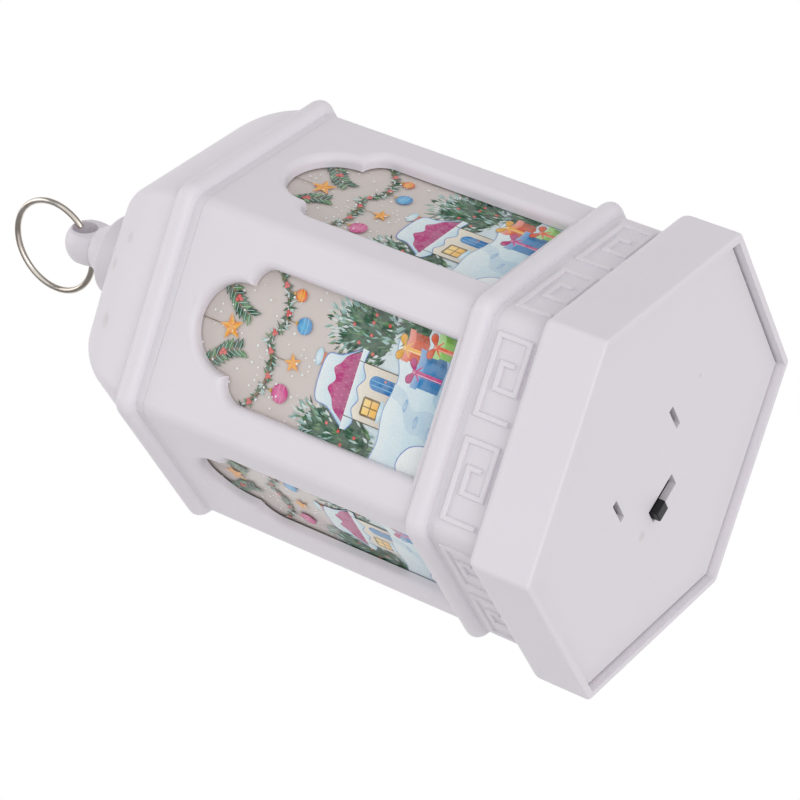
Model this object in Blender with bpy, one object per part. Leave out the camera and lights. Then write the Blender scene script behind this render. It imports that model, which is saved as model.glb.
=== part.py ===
"""Hexagonal lantern night light with six arched windows and a hanging ring.

Blender 4.5 script. Lengths are in metres and +Z is up.
The origin is the middle of the rim that the lantern stands on.
The hexagon has a corner on +X, so one window faces -Y.
"""

import math

import bmesh
import bpy
from mathutils import Matrix, Vector

# Counts and angles
SIDES = 6
CORNER_STEPS = 6
BEAD_STEPS = 8
ROUND_STEPS = 4
RISER_STEPS = 10
ARCH_STEPS = 12
CIRCLE_STEPS = 32
SMALL_CIRCLE_STEPS = 16
DOME_STEPS = 8
CELL_COUNT = 3
QUARTER_TURN = math.pi / 2.0
HALF_TURN = math.pi
FULL_TURN = 2.0 * math.pi
SIXTH_TURN = FULL_TURN / SIDES
FLAT_PER_CORNER = math.cos(SIXTH_TURN / 2.0)
SMOOTH_ANGLE = math.radians(40.0)

# Clearances and overruns
clearance = 0.0003
fine_clearance = 0.0001
cut_overrun = 0.0010
joint_overlap = 0.0003

# Plinth and frieze; a corner is the distance from the axis to a sharp corner
plinth_corner = 0.0340
plinth_height = 0.0100
plinth_corner_round = 0.0009
plinth_top_round = 0.0020
plinth_foot_round = 0.0005
rim_wall = 0.0012
skirt_wall = 0.0021
plinth_step = 0.0030
frieze_height = 0.0074
body_corner_round = 0.0026
collar_rise = 0.0026
collar_wall = 0.0012
collar_seat = 0.0019

# Greek keys, raised on the frieze
key_width = 0.0110
key_height = 0.0048
key_line = 0.0008
key_relief = 0.0004
key_gap = 0.0036
key_lift = 0.0016
key_inner_left_share = 0.36
key_inner_right_share = 0.68
key_inner_low_share = 0.34
key_inner_high_share = 0.67

# Windowed body
body_inset = 0.00007
body_wall = 0.0020
body_height = 0.0491
bead_rise = 0.0007
bead_height = 0.0031
bead_swell = 0.00168
window_half_width = 0.0098
window_sill_rise = 0.0046
window_shoulder_round = 0.0034
window_shoulder_drop = 0.0037
window_lobe_radius = 0.0066
window_head_margin = 0.0038
window_edge_round = 0.0012

# Clear sleeve that carries the print
film_thickness = 0.00025

# Roof cap
eave_rise = 0.00135
eave_height = 0.0031
eave_swell = 0.00166
roof_foot_inset = 0.0004
roof_foot_angle = math.radians(12.0)
roof_slope_angle = math.radians(58.4)
roof_lining_angle = math.radians(24.0)
roof_riser_round = 0.0212
roof_slope_end = 0.003586
roof_shoulder_round = 0.0010
roof_wall = 0.0020
roof_corner_round_share = 0.12
plug_depth = 0.0022
plug_wall = 0.0012

# Neck and eye on the roof
neck_sink = 0.0032
neck_base_radius = 0.0064
neck_base_band = 0.0012
neck_base_rise = 0.0005
neck_height = 0.0038
neck_radius = 0.0033
ball_radius = 0.0037
ball_lift = 0.0024
eye_lift = 0.0007
eye_play = 0.0014
eye_half_thickness = 0.0024
eye_bore_flare = 0.0004
eye_turn = math.radians(-28.0)

# Hanging ring
ring_radius = 0.0075
ring_wire = 0.0010
ring_gap = 0.0006
ring_shift_share = 0.40
RING_STEPS = 60
RING_SIDES = 10

# Base plate with its clips and switch posts
plate_recess = 0.0013
plate_thickness = 0.0012
plate_seat_gap = 0.0006
module_shift = 0.0015
module_turn = math.radians(30.0)
clip_gap = 0.0015
clip_slot_width = 0.0010
clip_slot_length = 0.0046
clip_thickness = 0.0010
clip_height = 0.0074
clip_reach = 0.0008
clip_nose = 0.0014
post_thickness = 0.0010
post_half_width = 0.0015
post_reach = 0.0006
post_nose = 0.0008

# Battery box and button cells
box_offset = -0.0031
box_wall = 0.0010
box_floor = 0.0008
box_ledge_height = 0.0011
boss_radius = 0.0010
boss_bore = 0.0006
boss_bore_depth = 0.0060
boss_wall_gap = 0.00085
tail_slot_half_width = 0.0006
tail_slot_height = 0.0010
cell_radius = 0.0058
cell_height = 0.0054
cell_round = 0.0004
cell_cap_radius = 0.0046
cell_cap_height = 0.0005

# Contacts
spring_wire = 0.0004
spring_inner_radius = 0.0018
spring_outer_radius = 0.0046
spring_rise = 0.0010
spring_tail = 0.0008
SPRING_TURNS = 2.5
SPRING_STEPS_PER_TURN = 20
SPRING_SIDES = 6
contact_radius = 0.0042
contact_thickness = 0.0003

# Circuit board and lamp
board_thickness = 0.0010
screw_shank_radius = 0.0004
screw_length = 0.0045
screw_head_radius = 0.0011
screw_head_height = 0.0007
screw_hole_radius = 0.0006
lamp_standoff = 0.0010
lamp_radius = 0.0025
lamp_flange_radius = 0.0029
lamp_flange_height = 0.0010
lamp_height = 0.0086
lead_radius = 0.00025
lead_hole_radius = 0.0004
lead_half_pitch = 0.00127
resistor_length = 0.0032
resistor_width = 0.0016
resistor_height = 0.0006
resistor_offset = 0.0044

# Slide switch
switch_gap = 0.0008
switch_slot_length = 0.0066
switch_slot_width = 0.0028
switch_length = 0.0086
switch_width = 0.0040
switch_height = 0.0034
switch_skin = 0.0003
switch_base_height = 0.0008
slider_length = 0.0036
slider_width = 0.0029
slider_height = 0.0014
knob_length = 0.0024
knob_width = 0.0022
knob_tip = 0.00025
terminal_height = 0.0030
terminal_width = 0.0006
terminal_thickness = 0.0003
terminal_pitch = 0.0025

# Hook-up wires
wire_radius = 0.0004
wire_bow = 0.0010
WIRE_STEPS = 14
WIRE_SIDES = 8

# Sizes that follow from those above
rim_depth = plate_recess + plate_thickness + plate_seat_gap
frieze_corner = plinth_corner - plinth_step
frieze_top = plinth_height + frieze_height
key_base = plinth_height + key_lift
collar_top = frieze_top + collar_rise
collar_step = frieze_top - collar_seat
body_corner = frieze_corner - body_inset
wall_bottom = frieze_top + clearance
body_top = wall_bottom + body_height
window_sill = wall_bottom + window_sill_rise
window_lobe_centre = body_top - window_head_margin - window_lobe_radius
window_shoulder = window_lobe_centre - window_shoulder_drop
film_top = body_top - plug_depth
wall_inner_corner = body_corner - body_wall / FLAT_PER_CORNER
wall_inner_round = body_corner_round - body_wall
fitted_corner = wall_inner_corner - clearance / FLAT_PER_CORNER
fitted_round = wall_inner_round - clearance
eave_bottom = body_top + clearance
eave_top = eave_bottom + eave_rise + eave_height
riser_corner = body_corner - roof_foot_inset - roof_riser_round * math.cos(roof_foot_angle)
riser_height = eave_top - roof_riser_round * math.sin(roof_foot_angle)
slope_corner = riser_corner + roof_riser_round * math.cos(roof_slope_angle)
slope_bottom = riser_height + roof_riser_round * math.sin(roof_slope_angle)
slope_top = slope_bottom + (slope_corner - roof_slope_end) / math.tan(roof_slope_angle)
roof_top = slope_top + roof_shoulder_round * (1.0 - math.sin(roof_slope_angle))
neck_foot = roof_top + neck_base_rise
neck_top = neck_foot + neck_height
ball_height = neck_top + ball_lift
eye_height = ball_height + eye_lift
eye_bore = ring_wire / 2.0 + eye_play
ring_shift = ring_radius * ring_shift_share
plate_top = plate_recess + plate_thickness
box_half = cell_radius + fine_clearance + box_wall
box_bottom = plate_top + clearance
box_floor_top = box_bottom + box_floor
spring_bottom = box_floor_top + fine_clearance + spring_wire / 2.0
cell_start = spring_bottom + spring_rise + spring_wire / 2.0 + fine_clearance
cell_pitch = cell_height + fine_clearance
contact_bottom = cell_start + CELL_COUNT * cell_pitch
board_bottom = contact_bottom + contact_thickness + fine_clearance
board_top = board_bottom + board_thickness
box_top = board_bottom - clearance
lamp_bottom = board_top + lamp_standoff
boss_place = box_half - box_wall - boss_wall_gap
clip_inner = box_half + clip_gap
clip_slot_place = clip_inner - clip_slot_width / 2.0
clip_nose_bottom = plate_top + clip_height - clip_nose
post_height = switch_height + post_nose + 2.0 * clearance
switch_offset = box_offset + box_half + switch_gap + switch_width / 2.0
switch_bottom = plate_top + clearance
switch_base_bottom = switch_bottom + switch_height - switch_base_height
switch_top = switch_bottom + switch_height
terminal_top = switch_top + fine_clearance + terminal_height
switch_travel = switch_slot_length - knob_length - 2.0 * clearance

# Colour, roughness and metallic value of each sub-part
WHITE_PLASTIC = ((0.80, 0.77, 0.81), 0.42, 0.0)
CLEAR_FILM = ((0.78, 0.77, 0.74), 0.15, 0.0)
NICKEL = ((0.62, 0.58, 0.54), 0.18, 1.0)
STEEL = ((0.56, 0.55, 0.53), 0.32, 1.0)
TINNED_BRASS = ((0.70, 0.66, 0.56), 0.30, 1.0)
BLACK_PLASTIC = ((0.012, 0.012, 0.013), 0.38, 0.0)
BROWN_LAMINATE = ((0.20, 0.10, 0.04), 0.55, 0.0)
GREEN_LAMINATE = ((0.03, 0.16, 0.06), 0.45, 0.0)
WARM_LENS = ((0.86, 0.82, 0.62), 0.12, 0.0)
CERAMIC = ((0.03, 0.03, 0.035), 0.40, 0.0)
RED_VINYL = ((0.45, 0.02, 0.02), 0.45, 0.0)
BLACK_VINYL = ((0.015, 0.015, 0.015), 0.45, 0.0)


def clear_scene():
    """Remove every object that the scene holds."""
    for item in list(bpy.data.objects):
        bpy.data.objects.remove(item, do_unlink=True)


def make_material(name, finish):
    """Return a Principled material from a colour, roughness and metallic value."""
    colour, roughness, metallic = finish
    material = bpy.data.materials.new(name)
    material.use_nodes = True
    shader = material.node_tree.nodes["Principled BSDF"]
    shader.inputs["Base Color"].default_value = (*colour, 1.0)
    shader.inputs["Roughness"].default_value = roughness
    shader.inputs["Metallic"].default_value = metallic
    return material


def add_object(name, builder, finish=None, parent=None):
    """Turn a bmesh into a named object with its own material, shaded smooth up to an angle."""
    mesh = bpy.data.meshes.new(name)
    bmesh.ops.recalc_face_normals(builder, faces=builder.faces)
    builder.to_mesh(mesh)
    builder.free()
    mesh.shade_smooth()
    mesh.set_sharp_from_angle(angle=SMOOTH_ANGLE)
    item = bpy.data.objects.new(name, mesh)
    bpy.context.scene.collection.objects.link(item)
    item.parent = parent
    if finish:
        mesh.materials.append(make_material(name + "_finish", finish))
    return item


def add_frame(name, location, turn):
    """Add an empty that carries pieces laid out along its own axes."""
    frame = bpy.data.objects.new(name, None)
    frame.location = location
    frame.rotation_euler = (0.0, 0.0, turn)
    bpy.context.scene.collection.objects.link(frame)
    return frame


def apply_boolean(item, tool, operation):
    """Cut or join a hidden tool into an object with a live Boolean modifier."""
    tool.hide_render = True
    tool.display_type = "WIRE"
    modifier = item.modifiers.new(tool.name, "BOOLEAN")
    modifier.operation = operation
    modifier.solver = "EXACT"
    modifier.object = tool


def hexagon_ring(corner, height, corner_round):
    """Return the points of a round-cornered hexagon at one height."""
    inner = corner - corner_round / FLAT_PER_CORNER
    points = []
    for side in range(SIDES):
        middle = side * SIXTH_TURN
        for step in range(CORNER_STEPS + 1):
            angle = middle + SIXTH_TURN * (step / CORNER_STEPS - 0.5)
            x = inner * math.cos(middle) + corner_round * math.cos(angle)
            y = inner * math.sin(middle) + corner_round * math.sin(angle)
            points.append(Vector((x, y, height)))
    return points


def circle_ring(radius, height, steps, centre):
    """Return the points of a level circle."""
    points = []
    for step in range(steps):
        angle = FULL_TURN * step / steps
        x = centre[0] + radius * math.cos(angle)
        y = centre[1] + radius * math.sin(angle)
        points.append(Vector((x, y, height)))
    return points


def box_ring(low, high, height):
    """Return the corners of a level rectangle."""
    corners = ((low[0], low[1]), (high[0], low[1]), (high[0], high[1]), (low[0], high[1]))
    return [Vector((x, y, height)) for x, y in corners]


def skin_rings(builder, rings, closed=False):
    """Skin rings of equal count, as a closed loop or with a face on each end."""
    loops = [[builder.verts.new(point) for point in ring] for ring in rings]
    pairs = list(zip(loops, loops[1:]))
    if closed:
        pairs.append((loops[-1], loops[0]))
    count = len(loops[0])
    for lower, upper in pairs:
        for index in range(count):
            following = (index + 1) % count
            builder.faces.new((lower[index], lower[following], upper[following], upper[index]))
    if not closed:
        builder.faces.new(list(reversed(loops[0])))
        builder.faces.new(loops[-1])


def hexagon_solid(outline, closed=True):
    """Return a bmesh of an outline of (corner, height, round) swept round the hexagon."""
    builder = bmesh.new()
    skin_rings(builder, [hexagon_ring(*station) for station in outline], closed)
    return builder


def add_turned(builder, outline, steps=CIRCLE_STEPS, centre=(0.0, 0.0)):
    """Add an open outline of (radius, height) turned about an upright axis."""
    skin_rings(builder, [circle_ring(radius, height, steps, centre) for radius, height in outline])


def turned_solid(outline, steps=CIRCLE_STEPS, centre=(0.0, 0.0)):
    """Return a bmesh of one turned outline."""
    builder = bmesh.new()
    add_turned(builder, outline, steps, centre)
    return builder


def add_box(builder, low, high):
    """Add a box between two corners."""
    skin_rings(builder, [box_ring(low, high, low[2]), box_ring(low, high, high[2])])


def centred_box(length, width, bottom, top, centre=(0.0, 0.0)):
    """Return the two corners of a box centred on a point of the plan."""
    low = (centre[0] - length / 2.0, centre[1] - width / 2.0, bottom)
    high = (centre[0] + length / 2.0, centre[1] + width / 2.0, top)
    return low, high


def add_tube(builder, points, radius, sides):
    """Sweep a round section along points without twisting it."""
    last = len(points) - 1
    normal = (points[1] - points[0]).orthogonal().normalized()
    rings = []
    for index, point in enumerate(points):
        tangent = (points[min(index + 1, last)] - points[max(index - 1, 0)]).normalized()
        normal = (normal - tangent * normal.dot(tangent)).normalized()
        across = tangent.cross(normal)
        ring = []
        for side in range(sides):
            angle = FULL_TURN * side / sides
            ring.append(point + normal * (radius * math.cos(angle)) + across * (radius * math.sin(angle)))
        rings.append(ring)
    skin_rings(builder, rings)


def tube_solid(points, radius, sides):
    """Return a bmesh of one tube."""
    builder = bmesh.new()
    add_tube(builder, points, radius, sides)
    return builder


def print_least_gap(name, points, diameter):
    """Print the least gap between stretches of a tube that aren't next to each other."""
    least = None
    for index, point in enumerate(points):
        travelled = 0.0
        for other in range(index + 1, len(points)):
            travelled += (points[other] - points[other - 1]).length
            if travelled < HALF_TURN * diameter:
                continue
            gap = (points[other] - point).length - diameter
            if least is None or gap < least:
                least = gap
    print(f"{name}: least gap to itself {least:.5f} m")


def face_placer(corner, side):
    """Return a function that lays (across, height, out) on one flat of the hexagon."""
    angle = SIXTH_TURN * (side + 0.5)
    normal = Vector((math.cos(angle), math.sin(angle), 0.0))
    across = Vector((-math.sin(angle), math.cos(angle), 0.0))
    apothem = corner * FLAT_PER_CORNER

    def place(sideways, height, out):
        return normal * (apothem + out) + across * sideways + Vector((0.0, 0.0, height))

    return place


def half_bead(corner, bottom, height, swell):
    """Return the outline of a half-round bead, from its foot to its top."""
    outline = []
    for step in range(BEAD_STEPS + 1):
        angle = HALF_TURN * step / BEAD_STEPS
        level = bottom + height * (1.0 - math.cos(angle)) / 2.0
        outline.append((corner + swell * math.sin(angle), level, body_corner_round))
    return outline


def fillet(centre, radius, start, end, corner_round, steps=ROUND_STEPS):
    """Return outline stations on an arc round a (corner, height) centre."""
    outline = []
    for step in range(steps + 1):
        angle = start + (end - start) * step / steps
        corner = centre[0] + radius * math.cos(angle)
        height = centre[1] + radius * math.sin(angle)
        outline.append((corner, height, corner_round))
    return outline


def key_path(left):
    """Return the corners of one Greek key, from its foot to its inner end."""
    inner_left = left + key_width * key_inner_left_share
    inner_right = left + key_width * key_inner_right_share
    low = key_base + key_height * key_inner_low_share
    high = key_base + key_height * key_inner_high_share
    top = key_base + key_height
    path = [
        (left, key_base),
        (left, top),
        (left + key_width, top),
        (left + key_width, key_base),
        (inner_left, key_base),
        (inner_left, high),
        (inner_right, high),
        (inner_right, low),
    ]
    return [Vector(point) for point in path]


def add_key_bar(builder, path, place):
    """Add a raised bar with square corners along a flat path."""
    half = key_line / 2.0
    still = Vector((0.0, 0.0))
    rings = []
    for index, point in enumerate(path):
        arriving = (point - path[index - 1]).normalized() if index > 0 else still
        leaving = (path[index + 1] - point).normalized() if index + 1 < len(path) else still
        side = Vector((-arriving.y - leaving.y, arriving.x + leaving.x)) * half
        end = still
        if index == 0:
            end = -leaving * half
        if index + 1 == len(path):
            end = arriving * half
        left = point + side + end
        right = point - side + end
        rings.append([
            place(left.x, left.y, -joint_overlap),
            place(right.x, right.y, -joint_overlap),
            place(right.x, right.y, key_relief),
            place(left.x, left.y, key_relief),
        ])
    skin_rings(builder, rings)


def make_key_tool():
    """Return the raised keys of the six frieze panels, two to a panel."""
    builder = bmesh.new()
    for side in range(SIDES):
        place = face_placer(frieze_corner, side)
        for left in (-key_gap / 2.0 - key_width, key_gap / 2.0):
            add_key_bar(builder, key_path(left), place)
    return add_object("greek_key_tool", builder)


def make_base_skirt():
    """Plinth, frieze, and the collar that the body sits over."""
    inner_rim = plinth_corner - rim_wall / FLAT_PER_CORNER
    inner_plinth = plinth_corner - skirt_wall / FLAT_PER_CORNER
    inner_frieze = frieze_corner - skirt_wall / FLAT_PER_CORNER
    inner_collar = fitted_corner - collar_wall / FLAT_PER_CORNER
    ceiling = plinth_height - skirt_wall
    round_centre = (plinth_corner - plinth_top_round, plinth_height - plinth_top_round)
    outline = [
        (plinth_corner - plinth_foot_round, 0.0, plinth_corner_round),
        (plinth_corner, plinth_foot_round, plinth_corner_round),
    ]
    outline += fillet(round_centre, plinth_top_round, 0.0, QUARTER_TURN, plinth_corner_round)
    outline += [
        (frieze_corner, plinth_height, body_corner_round),
        (frieze_corner, frieze_top, body_corner_round),
        (fitted_corner, frieze_top, fitted_round),
        (fitted_corner, collar_top, fitted_round),
        (inner_collar, collar_top, fitted_round),
        (inner_collar, collar_step, fitted_round),
        (inner_frieze, collar_step, fitted_round),
        (inner_frieze, ceiling, fitted_round),
        (inner_plinth, ceiling, fitted_round),
        (inner_plinth, rim_depth, fitted_round),
        (inner_rim, rim_depth, fitted_round),
        (inner_rim, 0.0, fitted_round),
    ]
    skirt = add_object("base_skirt", hexagon_solid(outline), WHITE_PLASTIC)
    apply_boolean(skirt, make_key_tool(), "UNION")


def window_outline(grow):
    """Return the window's edge, grown outwards, as (across, height) from right to left."""
    shoulder = window_shoulder_round + grow
    lobe = window_lobe_radius + grow
    shoulder_across = window_half_width - window_shoulder_round
    drop = window_lobe_centre - window_shoulder
    apart = math.hypot(shoulder_across, drop)
    reach = (lobe * lobe - shoulder * shoulder + apart * apart) / (2.0 * apart)
    spread = math.sqrt(lobe * lobe - reach * reach)
    cusp_across = (shoulder_across * reach + drop * spread) / apart
    cusp_rise = (shoulder_across * spread - drop * reach) / apart
    shoulder_end = math.atan2(cusp_rise + drop, cusp_across - shoulder_across)
    lobe_start = math.atan2(cusp_rise, cusp_across)
    right = [(window_half_width + grow, window_sill)]
    for step in range(ROUND_STEPS + 1):
        angle = shoulder_end * step / ROUND_STEPS
        across = shoulder_across + shoulder * math.cos(angle)
        right.append((across, window_shoulder + shoulder * math.sin(angle)))
    for step in range(1, ARCH_STEPS):
        angle = lobe_start + (QUARTER_TURN - lobe_start) * step / ARCH_STEPS
        right.append((lobe * math.cos(angle), window_lobe_centre + lobe * math.sin(angle)))
    left = [(-across, height) for across, height in reversed(right)]
    return right + [(0.0, window_lobe_centre + lobe)] + left


def make_window_tool():
    """Return six window plugs, flared so that each opening gets a rounded outer edge."""
    stations = [(-body_wall - cut_overrun, 0.0)]
    for step in range(ROUND_STEPS):
        angle = QUARTER_TURN * step / ROUND_STEPS
        out = window_edge_round * (math.sin(angle) - 1.0)
        stations.append((out, window_edge_round * (1.0 - math.cos(angle))))
    stations.append((cut_overrun, window_edge_round))
    builder = bmesh.new()
    for side in range(SIDES):
        place = face_placer(body_corner, side)
        rings = []
        for out, grow in stations:
            rings.append([place(across, height, out) for across, height in window_outline(grow)])
        skin_rings(builder, rings)
    return add_object("window_tool", builder)


def make_wall_body():
    """Six-sided wall with its lower bead and an arched window in each side."""
    outline = [(body_corner, wall_bottom, body_corner_round)]
    outline += half_bead(body_corner, wall_bottom + bead_rise, bead_height, bead_swell)
    outline += [
        (body_corner, body_top, body_corner_round),
        (wall_inner_corner, body_top, wall_inner_round),
        (wall_inner_corner, wall_bottom, wall_inner_round),
    ]
    body = add_object("wall_body", hexagon_solid(outline), WHITE_PLASTIC)
    apply_boolean(body, make_window_tool(), "DIFFERENCE")


def make_window_film():
    """Clear sleeve behind the windows, standing on the skirt's collar."""
    inner_corner = fitted_corner - film_thickness / FLAT_PER_CORNER
    inner_round = fitted_round - film_thickness
    bottom = collar_top + clearance
    outline = [
        (fitted_corner, bottom, fitted_round),
        (fitted_corner, film_top, fitted_round),
        (inner_corner, film_top, inner_round),
        (inner_corner, bottom, inner_round),
    ]
    add_object("window_film", hexagon_solid(outline), CLEAR_FILM)


def soften_corners(outline, largest_round):
    """Return the outline with corner rounds that shrink towards the top of the roof."""
    stations = []
    for corner, height in outline:
        stations.append((corner, height, min(largest_round, corner * roof_corner_round_share)))
    return stations


def roof_outline():
    """Return the roof's outer outline, from the eave bead up to its level top."""
    outline = [(body_corner, eave_bottom, body_corner_round)]
    outline += half_bead(body_corner, eave_bottom + eave_rise, eave_height, eave_swell)
    centre = (riser_corner, riser_height)
    outline += fillet(
        centre, roof_riser_round, roof_foot_angle, roof_slope_angle, body_corner_round, RISER_STEPS
    )
    band_corner = neck_base_radius / FLAT_PER_CORNER + neck_base_band
    band_height = slope_top - (band_corner - roof_slope_end) / math.tan(roof_slope_angle)
    outline.append((band_corner, band_height, body_corner_round))
    shoulder_corner = roof_slope_end - roof_shoulder_round * math.cos(roof_slope_angle)
    shoulder_centre = (shoulder_corner, roof_top - roof_shoulder_round)
    outline += fillet(
        shoulder_centre, roof_shoulder_round, roof_slope_angle, QUARTER_TURN, body_corner_round
    )
    return soften_corners([station[:2] for station in outline], body_corner_round)


def roof_lining():
    """Return the inner outline of the roof, one wall inside it, from its ceiling to the plug's foot."""
    arc = []
    for step in range(RISER_STEPS + 1):
        angle = roof_slope_angle + (roof_lining_angle - roof_slope_angle) * step / RISER_STEPS
        run = math.cos(angle)
        rise = FLAT_PER_CORNER * math.sin(angle)
        length = math.hypot(run, rise)
        inset = roof_wall * run / (length * FLAT_PER_CORNER)
        drop = roof_wall * rise / length
        corner = riser_corner + roof_riser_round * math.cos(angle) - inset
        arc.append((corner, riser_height + roof_riser_round * math.sin(angle) - drop))
    ceiling = roof_top - roof_wall
    ceiling_corner = arc[0][0] - (ceiling - arc[0][1]) * math.tan(roof_slope_angle)
    plug_inner = fitted_corner - plug_wall / FLAT_PER_CORNER
    outline = [(ceiling_corner, ceiling)] + arc[:-1]
    outline += [(plug_inner, arc[-1][1]), (plug_inner, eave_bottom - plug_depth)]
    return soften_corners(outline, fitted_round - fine_clearance)


def make_eye_tool():
    """Return the neck and the eye, with a flat cheek at each end of its bore."""
    outline = [(neck_base_radius, roof_top - neck_sink), (neck_base_radius, neck_foot)]
    for step in range(DOME_STEPS):
        angle = QUARTER_TURN * step / DOME_STEPS
        radius = neck_radius + (ball_radius - neck_radius) * math.sin(angle)
        outline.append((radius, ball_height - ball_lift * math.cos(angle)))
    for step in range(DOME_STEPS):
        angle = QUARTER_TURN * step / DOME_STEPS
        outline.append((ball_radius * math.cos(angle), ball_height + ball_radius * math.sin(angle)))
    builder = turned_solid(outline)
    for vertex in builder.verts:
        if vertex.co.z > neck_top:
            vertex.co.x = max(-eye_half_thickness, min(eye_half_thickness, vertex.co.x))
    eye = add_object("eye_tool", builder)
    eye.rotation_euler = (0.0, 0.0, eye_turn)
    return eye


def make_eye_bore_tool():
    """Return the bore through the eye, flared where the ring leaves it."""
    flare_start = eye_half_thickness - eye_bore_flare
    end = eye_half_thickness + cut_overrun
    wide = eye_bore + end - flare_start
    outline = [(wide, -end), (eye_bore, -flare_start), (eye_bore, flare_start), (wide, end)]
    builder = turned_solid(outline)
    bmesh.ops.rotate(builder, verts=builder.verts, matrix=Matrix.Rotation(QUARTER_TURN, 3, "Y"))
    bore = add_object("eye_bore_tool", builder)
    bore.location = (0.0, 0.0, eye_height)
    bore.rotation_euler = (0.0, 0.0, eye_turn)
    return bore


def make_roof_cap():
    """Hollow roof with its eave bead, the plug that enters the body, and the eye."""
    outer = roof_outline()
    plug = [
        (fitted_corner, eave_bottom - plug_depth, fitted_round),
        (fitted_corner, eave_bottom, fitted_round),
    ]
    outline = roof_lining() + plug + outer
    cap = add_object("roof_cap", hexagon_solid(outline, closed=False), WHITE_PLASTIC)
    apply_boolean(cap, make_eye_tool(), "UNION")
    apply_boolean(cap, make_eye_bore_tool(), "DIFFERENCE")


def make_hanging_ring():
    """Open wire ring through the eye, with its butt gap inside the bore."""
    frame = add_frame("ring_swing_frame", (0.0, 0.0, eye_height), eye_turn)
    bore_angle = math.asin(ring_shift / ring_radius)
    half_gap = (ring_gap + ring_wire) / ring_radius / 2.0
    sweep = FULL_TURN - 2.0 * half_gap
    inner_drop = math.sqrt(ring_radius ** 2 - (ring_shift - eye_half_thickness) ** 2)
    outer_drop = math.sqrt(ring_radius ** 2 - (ring_shift + eye_half_thickness) ** 2)
    ring_lift = (inner_drop + outer_drop) / 2.0
    points = []
    for step in range(RING_STEPS + 1):
        angle = bore_angle + half_gap + sweep * step / RING_STEPS
        x = -ring_shift + ring_radius * math.sin(angle)
        z = ring_lift - ring_radius * math.cos(angle)
        points.append(Vector((x, 0.0, z)))
    print_least_gap("hanging_ring", points, ring_wire)
    add_object("hanging_ring", tube_solid(points, ring_wire / 2.0, RING_SIDES), NICKEL, frame)


def add_catch(builder, side, sizes, half_width, centre):
    """Add a post on the plate with a nose at its top that points back to the middle."""
    inner, thickness, height, reach, nose = sizes
    base = plate_top - joint_overlap
    top = plate_top + height
    outline = [
        (inner, base),
        (inner + thickness, base),
        (inner + thickness, top),
        (inner, top),
        (inner - reach, top - nose / 2.0),
        (inner - reach, top - nose),
        (inner, top - nose),
    ]
    rings = []
    for across in (centre - half_width, centre + half_width):
        rings.append([Vector((side * x, across, z)) for x, z in outline])
    skin_rings(builder, rings)


def make_plate_catches(module):
    """Return the two box clips and the two switch posts of the base plate."""
    builder = bmesh.new()
    clip_half = clip_slot_length / 2.0 - clearance
    clip = (clip_inner, clip_thickness, clip_height, clip_reach, clip_nose)
    post_inner = switch_length / 2.0 + clearance
    post = (post_inner, post_thickness, post_height, post_reach, post_nose)
    for side in (-1.0, 1.0):
        add_catch(builder, side, clip, clip_half, box_offset)
        add_catch(builder, side, post, post_half_width, switch_offset)
    return add_object("plate_catch_tool", builder, parent=module)


def make_plate_slots(module):
    """Return the cutters of the two clip slots and the switch slot."""
    builder = bmesh.new()
    bottom = plate_recess - cut_overrun
    top = plate_top + cut_overrun
    for side in (-1.0, 1.0):
        centre = (side * clip_slot_place, box_offset)
        add_box(builder, *centred_box(clip_slot_width, clip_slot_length, bottom, top, centre))
    add_box(builder, *centred_box(switch_slot_length, switch_slot_width, bottom, top, (0.0, switch_offset)))
    return add_object("plate_slot_tool", builder, parent=module)


def make_base_plate(module):
    """Recessed floor of the lantern, with clips for the battery box and posts for the switch."""
    plate_corner = plinth_corner - (rim_wall + clearance) / FLAT_PER_CORNER
    outline = [
        (plate_corner, plate_recess, fitted_round),
        (plate_corner, plate_top, fitted_round),
    ]
    plate = add_object("base_plate", hexagon_solid(outline, closed=False), WHITE_PLASTIC)
    apply_boolean(plate, make_plate_catches(module), "UNION")
    apply_boolean(plate, make_plate_slots(module), "DIFFERENCE")


def make_battery_box(module):
    """Square open-topped box with a clip ledge on two sides and a screw boss in two corners."""
    centre = (0.0, box_offset)
    outer = 2.0 * box_half
    inner = outer - 2.0 * box_wall
    floor_low, floor_high = centred_box(inner, inner, box_floor_top, box_top, centre)
    outer_low, outer_high = centred_box(outer, outer, box_bottom, box_top, centre)
    builder = bmesh.new()
    rings = [
        box_ring(floor_low, floor_high, box_floor_top),
        box_ring(floor_low, floor_high, box_top),
        box_ring(outer_low, outer_high, box_top),
        box_ring(outer_low, outer_high, box_bottom),
    ]
    skin_rings(builder, rings)
    box = add_object("battery_box", builder, WHITE_PLASTIC, module)
    apply_boolean(box, make_box_fittings(module), "UNION")
    apply_boolean(box, make_box_cuts(module), "DIFFERENCE")


def make_box_fittings(module):
    """Return the box's two clip ledges and two screw bosses."""
    builder = bmesh.new()
    ledge_out = clip_inner - clearance
    ledge_in = box_half - joint_overlap
    ledge_top = clip_nose_bottom - clearance
    for side in (-1.0, 1.0):
        ledge_centre = (side * (ledge_in + ledge_out) / 2.0, box_offset)
        size = (ledge_out - ledge_in, clip_slot_length)
        add_box(builder, *centred_box(*size, ledge_top - box_ledge_height, ledge_top, ledge_centre))
        boss_centre = (side * boss_place, box_offset + side * boss_place)
        boss = [(boss_radius, box_floor_top - joint_overlap), (boss_radius, box_top)]
        add_turned(builder, boss, SMALL_CIRCLE_STEPS, boss_centre)
    return add_object("box_fitting_tool", builder, parent=module)


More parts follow.
